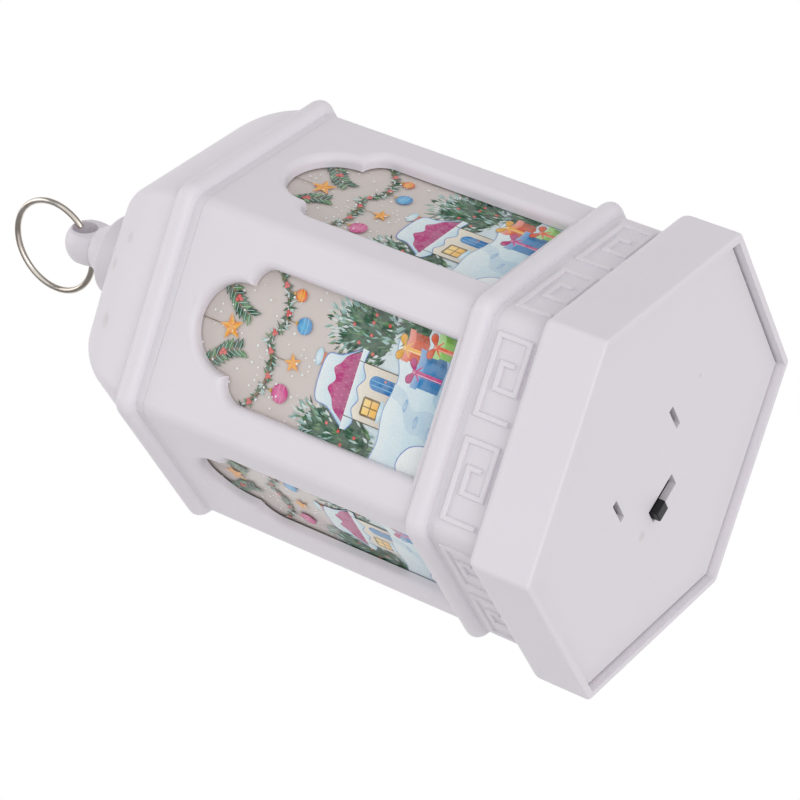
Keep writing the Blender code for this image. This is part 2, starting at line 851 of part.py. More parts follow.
def make_box_cuts(module):
    """Return the cutters of the two boss bores and of the slot for the spring's tail."""
    builder = bmesh.new()
    for side in (-1.0, 1.0):
        boss_centre = (side * boss_place, box_offset + side * boss_place)
        bore = [(boss_bore, box_top - boss_bore_depth), (boss_bore, box_top + cut_overrun)]
        add_turned(builder, bore, SMALL_CIRCLE_STEPS, boss_centre)
    slot_bottom = box_floor_top - joint_overlap
    low = (spring_outer_radius - tail_slot_half_width, box_offset - box_half - cut_overrun, slot_bottom)
    high = (
        spring_outer_radius + tail_slot_half_width,
        box_offset - box_half + box_wall + joint_overlap,
        slot_bottom + tail_slot_height,
    )
    add_box(builder, low, high)
    return add_object("box_cut_tool", builder, parent=module)


def make_button_cells(module):
    """Stack of button cells, each with its narrower cap below."""
    for index in range(CELL_COUNT):
        bottom = cell_start + index * cell_pitch
        top = bottom + cell_height
        step = bottom + cell_cap_height
        outline = [
            (cell_cap_radius, bottom),
            (cell_cap_radius, step),
            (cell_radius - cell_round, step),
            (cell_radius, step + cell_round),
            (cell_radius, top - cell_round),
            (cell_radius - cell_round, top),
        ]
        add_object(f"button_cell_{index + 1}", turned_solid(outline, centre=(0.0, box_offset)), STEEL, module)


def make_negative_spring(module):
    """Flat spiral spring under the cells, whose outer end leaves the box as a tail."""
    steps = round(SPRING_TURNS * SPRING_STEPS_PER_TURN)
    tail_start = box_offset - box_half - spring_tail
    points = [Vector((spring_outer_radius, tail_start, spring_bottom))]
    for step in range(steps + 1):
        share = step / steps
        angle = FULL_TURN * SPRING_TURNS * share
        radius = spring_outer_radius + (spring_inner_radius - spring_outer_radius) * share
        x = radius * math.cos(angle)
        y = box_offset + radius * math.sin(angle)
        points.append(Vector((x, y, spring_bottom + spring_rise * share)))
    print_least_gap("negative_spring", points, spring_wire)
    spring = tube_solid(points, spring_wire / 2.0, SPRING_SIDES)
    add_object("negative_spring", spring, TINNED_BRASS, module)


def make_positive_contact(module):
    """Contact disc under the circuit board."""
    outline = [(contact_radius, contact_bottom), (contact_radius, contact_bottom + contact_thickness)]
    contact = turned_solid(outline, centre=(0.0, box_offset))
    add_object("positive_contact", contact, TINNED_BRASS, module)


def make_circuit_board(module):
    """Square board that closes the battery box, bored for its screws and the lamp's leads."""
    builder = bmesh.new()
    add_box(builder, *centred_box(2.0 * box_half, 2.0 * box_half, board_bottom, board_top, (0.0, box_offset)))
    board = add_object("circuit_board", builder, GREEN_LAMINATE, module)
    holes = bmesh.new()
    low = board_bottom - cut_overrun
    high = board_top + cut_overrun
    screw_hole = [(screw_hole_radius, low), (screw_hole_radius, high)]
    lead_hole = [(lead_hole_radius, low), (lead_hole_radius, high)]
    for side in (-1.0, 1.0):
        screw_centre = (side * boss_place, box_offset + side * boss_place)
        add_turned(holes, screw_hole, SMALL_CIRCLE_STEPS, screw_centre)
        add_turned(holes, lead_hole, SMALL_CIRCLE_STEPS, (side * lead_half_pitch, box_offset))
    apply_boolean(board, add_object("board_hole_tool", holes, parent=module), "DIFFERENCE")


def make_board_screws(module):
    """Two pan-head screws that hold the board on the box."""
    head_bottom = board_top + fine_clearance
    head_top = head_bottom + screw_head_height
    tip = head_bottom - screw_length
    outline = [
        (screw_shank_radius / 2.0, tip),
        (screw_shank_radius, tip + screw_shank_radius),
        (screw_shank_radius, head_bottom),
        (screw_head_radius, head_bottom),
        (screw_head_radius, head_bottom + screw_head_height / 2.0),
        (screw_head_radius / 2.0, head_top),
    ]
    for index, side in enumerate((-1.0, 1.0)):
        centre = (side * boss_place, box_offset + side * boss_place)
        screw = turned_solid(outline, SMALL_CIRCLE_STEPS, centre)
        add_object(f"board_screw_{index + 1}", screw, STEEL, module)


def make_lamp(module):
    """Lamp with a flanged dome lens on two leads."""
    dome_centre = lamp_bottom + lamp_height - lamp_radius
    outline = [
        (lamp_flange_radius, lamp_bottom),
        (lamp_flange_radius, lamp_bottom + lamp_flange_height),
        (lamp_radius, lamp_bottom + lamp_flange_height),
    ]
    for step in range(DOME_STEPS):
        angle = QUARTER_TURN * step / DOME_STEPS
        outline.append((lamp_radius * math.cos(angle), dome_centre + lamp_radius * math.sin(angle)))
    add_object("lamp_lens", turned_solid(outline, centre=(0.0, box_offset)), WARM_LENS, module)
    lead_outline = [(lead_radius, board_bottom), (lead_radius, lamp_bottom - fine_clearance)]
    for index, side in enumerate((-1.0, 1.0)):
        lead = turned_solid(lead_outline, SMALL_CIRCLE_STEPS, (side * lead_half_pitch, box_offset))
        add_object(f"lamp_lead_{index + 1}", lead, TINNED_BRASS, module)


def make_resistor(module):
    """Chip resistor on the board beside the lamp."""
    builder = bmesh.new()
    bottom = board_top + fine_clearance
    centre = (0.0, box_offset - resistor_offset)
    add_box(builder, *centred_box(resistor_length, resistor_width, bottom, bottom + resistor_height, centre))
    add_object("chip_resistor", builder, CERAMIC, module)


def make_switch_case(module):
    """Folded steel case of the slide switch, open above and slotted below."""
    centre = (0.0, switch_offset)
    inner_size = (switch_length - 2.0 * switch_skin, switch_width - 2.0 * switch_skin)
    top = switch_base_bottom - fine_clearance
    inner_floor = switch_bottom + switch_skin
    outer_low, outer_high = centred_box(switch_length, switch_width, switch_bottom, top, centre)
    inner_low, inner_high = centred_box(*inner_size, inner_floor, top, centre)
    builder = bmesh.new()
    rings = [
        box_ring(inner_low, inner_high, inner_floor),
        box_ring(inner_low, inner_high, top),
        box_ring(outer_low, outer_high, top),
        box_ring(outer_low, outer_high, switch_bottom),
    ]
    skin_rings(builder, rings)
    case = add_object("switch_case", builder, STEEL, module)
    slot = bmesh.new()
    low = switch_bottom - clearance / 2.0
    high = inner_floor + clearance / 2.0
    slot_width = knob_width + 2.0 * clearance
    add_box(slot, *centred_box(switch_slot_length, slot_width, low, high, centre))
    apply_boolean(case, add_object("switch_slot_tool", slot, parent=module), "DIFFERENCE")


def make_switch_base(module):
    """Laminate base that closes the switch case and holds its terminals."""
    builder = bmesh.new()
    centre = (0.0, switch_offset)
    add_box(builder, *centred_box(switch_length, switch_width, switch_base_bottom, switch_top, centre))
    add_object("switch_base", builder, BROWN_LAMINATE, module)
    terminal_size = (terminal_width, terminal_thickness, switch_top + fine_clearance, terminal_top)
    for index, place in enumerate((-terminal_pitch, 0.0, terminal_pitch)):
        terminal = bmesh.new()
        add_box(terminal, *centred_box(*terminal_size, (place, switch_offset)))
        add_object(f"switch_terminal_{index + 1}", terminal, TINNED_BRASS, module)


def make_switch_knob(module):
    """Slider inside the case and the knob that it carries through the plate's slot."""
    slide_frame = add_frame("switch_slide_frame", (-switch_travel / 2.0, switch_offset, 0.0), 0.0)
    slide_frame.parent = module
    slider_bottom = switch_bottom + switch_skin + fine_clearance
    slider_top = slider_bottom + slider_height
    knob_low, knob_high = centred_box(knob_length, knob_width, knob_tip, slider_bottom)
    slider_low, slider_high = centred_box(slider_length, slider_width, slider_bottom, slider_top)
    builder = bmesh.new()
    rings = [
        box_ring(knob_low, knob_high, knob_tip),
        box_ring(knob_low, knob_high, slider_bottom),
        box_ring(slider_low, slider_high, slider_bottom),
        box_ring(slider_low, slider_high, slider_top),
    ]
    skin_rings(builder, rings)
    add_object("switch_knob", builder, BLACK_PLASTIC, slide_frame)


def bowed_route(start, end, bow):
    """Return points from start to end, pushed sideways most at mid length."""
    points = []
    for step in range(WIRE_STEPS + 1):
        share = step / WIRE_STEPS
        points.append(start.lerp(end, share) + bow * math.sin(HALF_TURN * share))
    return points


def make_wires(module):
    """Wires from the spring's tail and from two switch terminals up to the board's edge."""
    board_edge = box_half + fine_clearance + wire_radius
    board_level = (board_bottom + board_top) / 2.0
    outward = Vector((0.0, wire_bow, 0.0))
    tail_level = spring_bottom + spring_wire / 2.0 + fine_clearance + wire_radius
    battery_start = Vector((spring_outer_radius, box_offset - board_edge, tail_level))
    battery_end = Vector((spring_outer_radius, box_offset - board_edge, board_level))
    battery_route = bowed_route(battery_start, battery_end, -outward)
    add_object("battery_wire", tube_solid(battery_route, wire_radius, WIRE_SIDES), BLACK_VINYL, module)
    routes = (("switch_wire_in", -terminal_pitch, RED_VINYL), ("switch_wire_out", 0.0, BLACK_VINYL))
    for name, place, finish in routes:
        start = Vector((place, switch_offset, terminal_top + fine_clearance))
        end = Vector((place, box_offset + board_edge, board_level))
        route = bowed_route(start, end, outward)
        add_object(name, tube_solid(route, wire_radius, WIRE_SIDES), finish, module)


def build_lantern():
    """Model every sub-part of the lantern."""
    clear_scene()
    make_base_skirt()
    make_wall_body()
    make_window_film()
    make_roof_cap()
    make_hanging_ring()
    shift = (-module_shift * math.cos(module_turn), -module_shift * math.sin(module_turn), 0.0)
    module = add_frame("lamp_module_frame", shift, module_turn)
    make_base_plate(module)
    make_battery_box(module)
    make_button_cells(module)
    make_negative_spring(module)
    make_positive_contact(module)
    make_circuit_board(module)
    make_board_screws(module)
    make_lamp(module)
    make_resistor(module)
    make_switch_case(module)
    make_switch_base(module)
    make_switch_knob(module)
    make_wires(module)


build_lantern()
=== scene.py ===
"""Looks of a hexagonal lantern night light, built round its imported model.

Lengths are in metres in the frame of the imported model: +Z runs up the lantern's axis, a corner
of the hexagon lies on +X, and one window faces -Y. Each sub-assembly is a class whose fields are
its sizes. Each finish is a frozen dataclass that makes one material.
"""

import logging
import math
import random
from collections.abc import Callable
from dataclasses import dataclass
from enum import Enum

import bmesh
import bpy
from mathutils import Matrix, Vector
from mathutils.geometry import tessellate_polygon


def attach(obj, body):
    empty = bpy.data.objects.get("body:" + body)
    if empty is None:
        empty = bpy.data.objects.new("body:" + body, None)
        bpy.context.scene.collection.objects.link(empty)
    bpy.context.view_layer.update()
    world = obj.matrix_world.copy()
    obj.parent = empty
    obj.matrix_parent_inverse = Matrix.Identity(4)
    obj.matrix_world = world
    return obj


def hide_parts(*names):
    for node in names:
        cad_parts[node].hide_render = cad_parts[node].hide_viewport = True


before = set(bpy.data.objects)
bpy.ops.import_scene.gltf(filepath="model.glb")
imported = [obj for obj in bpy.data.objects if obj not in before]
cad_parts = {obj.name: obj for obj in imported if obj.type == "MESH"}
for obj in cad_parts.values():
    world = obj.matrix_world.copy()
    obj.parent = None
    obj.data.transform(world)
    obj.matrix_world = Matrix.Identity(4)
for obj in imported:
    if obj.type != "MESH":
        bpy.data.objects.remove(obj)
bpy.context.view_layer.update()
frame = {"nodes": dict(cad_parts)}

log = logging.getLogger("lantern")

SIDES = 6
SIXTH_TURN = math.tau / SIDES
FLAT_PER_CORNER = math.cos(SIXTH_TURN / 2)
MM = 0.001
WELD = 1e-6

Point2 = tuple[float, float]
Colour = tuple[float, float, float]
Placer = Callable[[float, float, float], Vector]


class Body(Enum):
    """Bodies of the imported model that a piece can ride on."""

    SHELL = "lantern_shell"
    MODULE = "lamp_module"
    KNOB = "switch_knob"
    RING = "hanging_ring"


class Slot(Enum):
    """Material slots of the record."""

    WHITE = "white_plastic"
    SLEEVE = "window_sleeve"
    NICKEL = "nickel_wire"
    CELL = "cell_steel"
    SCREW = "screw_steel"
    TINNED = "tinned_brass"
    GREEN = "green_laminate"
    BROWN = "brown_laminate"
    CERAMIC = "ceramic"
    BLACK = "black_plastic"


# ---------------------------------------------------------------- shader expressions


class Socket:
    """Output of a shader node, with arithmetic that adds Math nodes."""

    def __init__(self, book: "NodeBook", output: bpy.types.NodeSocket) -> None:
        """Keep the output and the tree that it belongs to."""
        self.book = book
        self.output = output

    def math(self, operation: str, *others: "Socket | float") -> "Socket":
        """Add a Math node.

        Args:
            operation: name of the Math node's operation.
            others: the second and third values.

        Returns:
            The node's output.
        """
        values = dict(enumerate((self, *others)))
        return self.book.node("ShaderNodeMath", {"operation": operation}, values)

    def __add__(self, other: "Socket | float") -> "Socket":
        """Return self + other."""
        return self.math("ADD", other)

    __radd__ = __add__

    def __mul__(self, other: "Socket | float") -> "Socket":
        """Return self * other."""
        return self.math("MULTIPLY", other)

    __rmul__ = __mul__

    def __sub__(self, other: "Socket | float") -> "Socket":
        """Return self - other."""
        return self.math("SUBTRACT", other)

    def __rsub__(self, other: float) -> "Socket":
        """Return other - self."""
        return self.math("MULTIPLY", -1.0).math("ADD", other)

    def below(self, edge: float, soft: float) -> "Socket":
        """Return 1 where the value is under an edge, falling to 0 over a soft width."""
        settings = {"interpolation_type": "SMOOTHSTEP"}
        values = {0: self, 1: edge, 2: edge + soft, 3: 1.0, 4: 0.0}
        return self.book.node("ShaderNodeMapRange", settings, values)


class NodeBook:
    """Node tree of a new material or of the world."""

    def __init__(self, owner: bpy.types.Material | bpy.types.World, end: str) -> None:
        """Empty the owner's tree and give it an output node of the given type."""
        owner.use_nodes = True
        self.owner = owner
        self.tree = owner.node_tree
        self.tree.nodes.clear()
        self.end = self.tree.nodes.new(end)

    @classmethod
    def named(cls, name: str) -> "NodeBook":
        """Return the book of a new material."""
        return cls(bpy.data.materials.new(name), "ShaderNodeOutputMaterial")

    def node(
        self,
        kind: str,
        settings: dict[str, object] | None = None,
        values: dict[int | str, object] | None = None,
        output: int | str = 0,
    ) -> Socket:
        """Add a node.

        Args:
            kind: the node's type.
            settings: the node's own settings, set first; "stops" fills a colour ramp.
            values: a value or a link for each named or numbered input.
            output: the output that is returned.

        Returns:
            The chosen output.
        """
        made = self.tree.nodes.new(kind)
        for name, value in (settings or {}).items():
            if name == "stops":
                self.fill_ramp(made.color_ramp, value)
            else:
                setattr(made, name, value)
        for name, value in (values or {}).items():
            if isinstance(value, Socket):
                self.tree.links.new(value.output, made.inputs[name])
            else:
                made.inputs[name].default_value = value
        return Socket(self, made.outputs[output])

    @staticmethod
    def fill_ramp(ramp: bpy.types.ColorRamp, stops: list[tuple[float, tuple]]) -> None:
        """Set the stops of a colour ramp, given as (place, colour)."""
        while len(ramp.elements) < len(stops):
            ramp.elements.new(1.0)
        for element, (place, colour) in zip(ramp.elements, stops):
            element.position = place
            element.color = (*colour, 1.0)

    def place(self) -> Socket:
        """Return the Object coordinates."""
        return self.node("ShaderNodeTexCoord", output="Object")

    def noise(self, grain: float, detail: float = 3.0, rough: float = 0.5) -> Socket:
        """Return noise from 0 to 1 on Object coordinates, with a grain in metres."""
        values = {"Vector": self.place(), "Scale": 1 / grain, "Detail": detail, "Roughness": rough}
        return self.node("ShaderNodeTexNoise", values=values)

    def blend(self, share: "Socket | float", first: object, second: object) -> Socket:
        """Return a colour mixed from the first to the second."""
        settings = {"data_type": "RGBA"}
        return self.node("ShaderNodeMix", settings, {0: share, 6: first, 7: second}, output=2)

    def bump(self, height: Socket, depth: float, strength: float = 1.0) -> Socket:
        """Return a normal that follows a height field of the given depth in metres."""
        values = {"Height": height, "Distance": depth, "Strength": strength}
        return self.node("ShaderNodeBump", values=values)

    def spot(self, centre: tuple[float, float, float], radius: float) -> Socket:
        """Return a soft round mask about a point."""
        away = self.node(
            "ShaderNodeVectorMath",
            {"operation": "DISTANCE"},
            {0: self.place(), 1: centre},
            output="Value",
        )
        return away.below(radius * 0.2, radius)

    def close(self, shader: Socket) -> bpy.types.Material | bpy.types.World:
        """Lead a shader to the output and return the tree's owner."""
        self.tree.links.new(shader.output, self.end.inputs["Surface"])
        return self.owner

    def finish(self, **values: object) -> bpy.types.Material:
        """Close the tree with a Principled shader.

        Args:
            values: inputs of the shader, with spaces written as underscores.

        Returns:
            The finished material.
        """
        named = {name.replace("_", " "): value for name, value in values.items()}
        return self.close(self.node("ShaderNodeBsdfPrincipled", values=named))


def paint(colour: Colour, alpha: float = 1.0) -> tuple[float, float, float, float]:
    """Return a colour with its alpha."""
    return (*colour, alpha)


def ink(red: int, green: int, blue: int) -> Colour:
    """Return the linear colour of a display colour given from 0 to 255."""
    shares = [value / 255 for value in (red, green, blue)]
    return tuple(s / 12.92 if s <= 0.04045 else ((s + 0.055) / 1.055) ** 2.4 for s in shares)


# ---------------------------------------------------------------- finishes


@dataclass(frozen=True)
class MouldedPlastic:
    """Satin moulded plastic with faint clouding, flow marks and handling scuffs."""

    name: str
    colour: Colour
    shade: Colour
    roughness: float = 0.42
    marks: tuple[tuple[tuple[float, float, float], float], ...] = ()
    mark_colour: Colour = (0.36, 0.38, 0.31)
    glow: float = 0.0

    def material(self) -> bpy.types.Material:
        """Return the material."""
        book = NodeBook.named(self.name)
        cloud = book.noise(14 * MM, 2.0)
        scuff = book.noise(1.6 * MM, 5.0, 0.65)
        colour = book.blend(cloud * 0.8 + scuff * 0.2, paint(self.colour), paint(self.shade))
        for centre, radius in self.marks:
            mask = book.spot(centre, radius) * (scuff * 1.4 - 0.25).math("MAXIMUM", 0.0)
            colour = book.blend(mask * 0.6, colour, paint(self.mark_colour))
        rough = self.roughness - 0.06 + scuff * 0.14
        fine = book.noise(0.35 * MM, 2.0)
        flow = book.noise(7 * MM, 1.0)
        normal = book.bump(fine * 0.25 + flow, 0.06 * MM, 0.5)
        return book.finish(
            Base_Color=colour,
            Roughness=rough,
            Normal=normal,
            IOR=1.45,
            Subsurface_Weight=self.glow,
            Subsurface_Radius=(1.0, 0.75, 0.7),
            Subsurface_Scale=1.2 * MM,
        )


@dataclass(frozen=True)
class PrintedInk:
    """Glossy printing ink whose colour comes from the picture's own colour attribute."""

    name: str
    attribute: str = "ink"

    def material(self) -> bpy.types.Material:
        """Return the material."""
        book = NodeBook.named(self.name)
        picture = book.node(
            "ShaderNodeVertexColor", {"layer_name": self.attribute}, output="Color"
        )
        grain = book.noise(0.28 * MM, 4.0, 0.7)
        wash = book.noise(1.8 * MM, 3.0, 0.6)
        light = book.blend(wash.below(0.44, 0.2) * 0.12, picture, paint(ink(244, 244, 240)))
        dark = book.blend(grain.below(0.4, 0.25) * 0.08, light, paint(ink(70, 78, 84)))
        return book.finish(Base_Color=dark, Roughness=0.24 + grain * 0.1, IOR=1.5)


@dataclass(frozen=True)
class SleeveWithPaintedShade:
    """Thin clear sheet, slightly hazy, drawn nearly opaque: its colour is painted shade, the dim
    hollow behind it painted on instead of seen through.
    """

    name: str
    colour: Colour
    body: float
    roughness: float = 0.14

    def material(self) -> bpy.types.Material:
        """Return the material."""
        book = NodeBook.named(self.name)
        # Painted shade: the colour stands for the dim hollow behind the sheet, a little darker in
        # random patches.
        haze = book.noise(9 * MM, 3.0)
        colour = book.blend(haze, paint(self.colour), paint(tuple(c * 0.92 for c in self.colour)))
        ripple = book.noise(11 * MM, 1.0)
        normal = book.bump(ripple, 0.5 * MM, 0.6)
        return book.finish(
            Base_Color=colour,
            Roughness=self.roughness + haze * 0.06,
            Alpha=self.body + haze * 0.1,
            Normal=normal,
            IOR=1.5,
        )


@dataclass(frozen=True)
class BareMetal:
    """Metal with fine wear in its gloss and a dull bloom in places."""

    name: str
    colour: Colour
    dull: Colour
    roughness: float
    grain: float = 0.8 * MM

    def material(self) -> bpy.types.Material:
        """Return the material."""
        book = NodeBook.named(self.name)
        wear = book.noise(self.grain, 5.0, 0.7)
        bloom = book.noise(self.grain * 5, 3.0)
        colour = book.blend(bloom.below(0.42, 0.22), paint(self.colour), paint(self.dull))
        normal = book.bump(wear, 0.02 * MM, 0.4)
        return book.finish(
            Base_Color=colour,
            Metallic=1.0,
            Roughness=self.roughness + wear * 0.16 - 0.05,
            Normal=normal,
        )


@dataclass(frozen=True)
class Coating:
    """Opaque lacquer, glaze, laminate or wire insulation."""

    name: str
    colour: Colour
    shade: Colour
    roughness: float
    grain: float = 0.9 * MM
    gloss: float = 0.0
    specular: float = 0.5

    def material(self) -> bpy.types.Material:
        """Return the material."""
        book = NodeBook.named(self.name)
        mottle = book.noise(self.grain, 4.0, 0.6)
        colour = book.blend(mottle, paint(self.colour), paint(self.shade))
        return book.finish(
            Base_Color=colour,
            Roughness=self.roughness + mottle * 0.1 - 0.05,
            Normal=book.bump(mottle, 0.02 * MM, 0.5),
            Coat_Weight=self.gloss,
            Coat_Roughness=0.12,
            Specular_IOR_Level=self.specular,
        )


@dataclass(frozen=True)
class ClearResin:
    """Water-clear resin of a small lamp, over its pale yellow core."""

    name: str
    colour: Colour

    def material(self) -> bpy.types.Material:
        """Return the material."""
        book = NodeBook.named(self.name)
        depth = book.noise(2.4 * MM, 2.0)
        colour = book.blend(depth, paint(self.colour), paint((0.93, 0.9, 0.8)))
        return book.finish(
            Base_Color=colour,
            Roughness=0.06 + depth * 0.04,
            IOR=1.52,
            Transmission_Weight=0.75,
        )


PRINT_INK = PrintedInk("print_ink")


# ---------------------------------------------------------------- modelling bench


class Bench:
    """Blender's modelling operators, used on one object at a time."""

    @staticmethod
    def clear() -> None:
        """Leave edit mode and deselect everything."""
        active = bpy.context.view_layer.objects.active
        if active and active.mode != "OBJECT":
            bpy.ops.object.mode_set(mode="OBJECT")
        bpy.ops.object.select_all(action="DESELECT")

    @staticmethod
    def take(*items: bpy.types.Object) -> None:
        """Select only these objects, the first of them active."""
        Bench.clear()
        for item in items:
            item.select_set(True)
        bpy.context.view_layer.objects.active = items[0]

    @staticmethod
    def settle(name: str) -> bpy.types.Object:
        """Name the new primitive and put its place into its mesh."""
        item = bpy.context.object
        item.name = name
        item.data.name = name
        bpy.ops.object.transform_apply(location=True, rotation=True, scale=True)
        return item

    @staticmethod
    def edit(item: bpy.types.Object, everything: bool = True) -> None:
        """Open an object in edit mode, with all or nothing of it selected."""
        Bench.take(item)
        bpy.ops.object.mode_set(mode="EDIT")
        bpy.ops.mesh.select_mode(type="VERT")
        bpy.ops.mesh.select_all(action="SELECT" if everything else "DESELECT")

    @staticmethod
    def choose(item: bpy.types.Object, kind: str, test: Callable[[object], bool]) -> int:
        """Select the vertices, edges or faces in edit mode that pass a test.

        Args:
            item: the object in edit mode.
            kind: "verts", "edges" or "faces".
            test: a function from the element to True or False.

        Returns:
            How many were selected.
        """
        mode = {"verts": "VERT", "edges": "EDGE", "faces": "FACE"}[kind]
        bpy.ops.mesh.select_mode(type=mode)
        bpy.ops.mesh.select_all(action="DESELECT")
        mesh = bmesh.from_edit_mesh(item.data)
        chosen = [element for element in getattr(mesh, kind) if test(element)]
        for element in chosen:
            element.select_set(True)
        mesh.select_flush_mode()
        bmesh.update_edit_mesh(item.data)
        return len(chosen)

    @staticmethod
    def join(name: str, items: list[bpy.types.Object]) -> bpy.types.Object:
        """Join objects into one with the given name."""
        Bench.take(*items)
        if len(items) > 1:
            bpy.ops.object.join()
        item = bpy.context.object
        item.name = name
        item.data.name = name
        return item

    @staticmethod
    def weld(item: bpy.types.Object) -> bpy.types.Object:
        """Merge doubled vertices and turn every face outwards."""
        Bench.edit(item)
        bpy.ops.mesh.remove_doubles(threshold=WELD)
        bpy.ops.mesh.normals_make_consistent(inside=False)
        bpy.ops.object.mode_set(mode="OBJECT")
        return item

    @staticmethod
    def apply(item: bpy.types.Object, kind: str, **settings: object) -> bpy.types.Object:
        """Add a modifier of the given kind and apply it."""
        Bench.take(item)
        modifier = item.modifiers.new(kind.lower(), kind)
        for name, value in settings.items():
            setattr(modifier, name, value)
        bpy.ops.object.modifier_apply(modifier=modifier.name)
        return item

    @staticmethod
    def combine(item: bpy.types.Object, tool: bpy.types.Object, way: str) -> bpy.types.Object:
        """Apply a Boolean with a tool and delete the tool."""
        Bench.apply(item, "BOOLEAN", object=tool, operation=way, solver="EXACT")
        bpy.data.objects.remove(tool, do_unlink=True)
        return item

    @staticmethod
    def soften(item: bpy.types.Object, width: float, steps: int = 2, angle: float = 35.0) -> None:
        """Round every edge that is sharper than an angle in degrees."""
        Bench.apply(
            item,
            "BEVEL",
            width=width,
            segments=steps,
            limit_method="ANGLE",
            angle_limit=math.radians(angle),
            harden_normals=False,
            miter_outer="MITER_ARC",
        )

    @staticmethod
    def smooth(item: bpy.types.Object, angle: float = 32.0) -> bpy.types.Object:
        """Shade smooth up to an angle, with flats kept flat by face-weighted normals."""
        Bench.take(item)
        bpy.ops.object.shade_smooth_by_angle(angle=math.radians(angle))
        Bench.apply(item, "WEIGHTED_NORMAL", keep_sharp=True, weight=80)
        return item

    @staticmethod
    def turn(item: bpy.types.Object, angle: float, centre: Vector, axis: str = "Z") -> None:
        """Turn a whole mesh about an upright or level line through a centre."""
        there, back = Matrix.Translation(centre), Matrix.Translation(-centre)
        item.data.transform(there @ Matrix.Rotation(angle, 4, axis) @ back)

    @staticmethod
    def move(item: bpy.types.Object, shift: Vector) -> None:
        """Move a whole mesh."""
        item.data.transform(Matrix.Translation(shift))


def wear(item: bpy.types.Object, material: bpy.types.Material) -> bpy.types.Object:
    """Give an object one material in place of what it has."""
    item.data.materials.clear()
    item.data.materials.append(material)
    return item


def mount(item: bpy.types.Object, body: Body, slot: Slot, *nodes: str) -> bpy.types.Object:
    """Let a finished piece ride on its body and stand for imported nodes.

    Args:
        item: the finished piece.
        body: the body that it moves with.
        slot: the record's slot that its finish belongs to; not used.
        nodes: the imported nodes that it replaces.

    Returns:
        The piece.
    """
    Bench.clear()
    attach(item, body.value)
    if nodes:
        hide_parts(*nodes)
    log.info("%s: %d faces on %s", item.name, len(item.data.polygons), body.value)
    return item


# ---------------------------------------------------------------- shapes of revolution and hexagons


def arc(centre: Point2, radius: float, start: float, end: float, steps: int) -> list[Point2]:
    """Return points on an arc, with its angles in degrees."""
    points = []
    for step in range(steps + 1):
        angle = math.radians(start + (end - start) * step / steps)
        points.append((centre[0] + radius * math.cos(angle), centre[1] + radius * math.sin(angle)))
    return points


def half_bead(corner: float, bottom: float, height: float, swell: float) -> list[Point2]:
    """Return the outline of a half-round bead on a wall, from its foot to its top."""
    points = []
    for step in range(13):
        angle = math.pi * step / 12
        level = bottom + height * (1 - math.cos(angle)) / 2
        points.append((corner + swell * math.sin(angle), level))
    return points


def raise_loop(outline: list[Point2]) -> None:
    """Extrude the selected loop up an outline of (size, height), starting from its first point."""
    size, level = outline[0]
    for next_size, next_level in outline[1:]:
        bpy.ops.mesh.extrude_edges_move(
            TRANSFORM_OT_translate={"value": (0.0, 0.0, next_level - level)}
        )
        share = next_size / size
        bpy.ops.transform.resize(value=(share, share, 1.0))
        size, level = next_size, next_level


@dataclass
class HexagonRun:
    """Stretch of a six-sided shell with one corner rounding, as (corner, height) points."""

    corner_round: float
    outline: list[Point2]
    close_top: bool = False

    def build(self, name: str) -> bpy.types.Object:
        """Model the stretch from a hexagon that is extruded up its outline."""
        corner, height = self.outline[0]
        Bench.clear()
        bpy.ops.mesh.primitive_circle_add(
            vertices=SIDES,
            radius=corner,
            fill_type="NGON",
            location=(0.0, 0.0, height),
            rotation=(0.0, 0.0, SIXTH_TURN / 2),
        )
        item = Bench.settle(name)
        Bench.edit(item)
        bpy.ops.mesh.bevel(
            offset_type="OFFSET",
            offset=self.corner_round * math.tan(SIXTH_TURN / 2),
            segments=8,
            affect="VERTICES",
        )
        bpy.ops.mesh.delete(type="ONLY_FACE")
        Bench.choose(item, "edges", lambda edge: True)
        raise_loop(self.outline)
        if self.close_top:
            bpy.ops.mesh.edge_face_add()
        bpy.ops.object.mode_set(mode="OBJECT")
        return item


def open_loops(mesh: bmesh.types.BMesh, level: float) -> list[list[bmesh.types.BMVert]]:
    """Return the open loops of a mesh at one height, each walked round counter-clockwise."""
    edges = [
        edge
        for edge in mesh.edges
        if len(edge.link_faces) == 1 and all(abs(v.co.z - level) < WELD for v in edge.verts)
    ]
    loops = []
    while edges:
        edge = edges.pop()
        loop = [edge.verts[0], edge.verts[1]]
        while True:
            onward = [e for e in loop[-1].link_edges if e in edges]
            if not onward:
                break
            edges.remove(onward[0])
            loop.append(onward[0].other_vert(loop[-1]))
        loop.pop()
        turn = sum(a.co.x * b.co.y - a.co.y * b.co.x for a, b in zip(loop, loop[1:]))
        loops.append(loop if turn > 0 else loop[::-1])
    return loops


def close_level(mesh: bmesh.types.BMesh, level: float) -> None:
    """Fill the flat ring between the two open loops at one height."""
    loops = open_loops(mesh, level)
    if len(loops) != 2:
        return
    first, second = loops
    count = len(first)
    start = min(range(count), key=lambda index: (second[index].co - first[0].co).length)
    second = second[start:] + second[:start]
    for index in range(count):
        after = (index + 1) % count
        mesh.faces.new((first[index], first[after], second[after], second[index]))


def hexagon_shell(name: str, runs: list[HexagonRun]) -> bpy.types.Object:
    """Join stretches of shell and close the ring between open loops that share a height.

    Args:
        name: the new object's name.
        runs: stretches whose ends meet others' ends at the same height.

    Returns:
        The closed shell.
    """
    item = Bench.join(name, [run.build(f"{name}_run") for run in runs])
    levels = {round(height, 7) for run in runs for _, height in (run.outline[0], run.outline[-1])}
    mesh = bmesh.new()
    mesh.from_mesh(item.data)
    for level in sorted(levels):
        close_level(mesh, level)
    mesh.to_mesh(item.data)
    mesh.free()
    return Bench.weld(item)


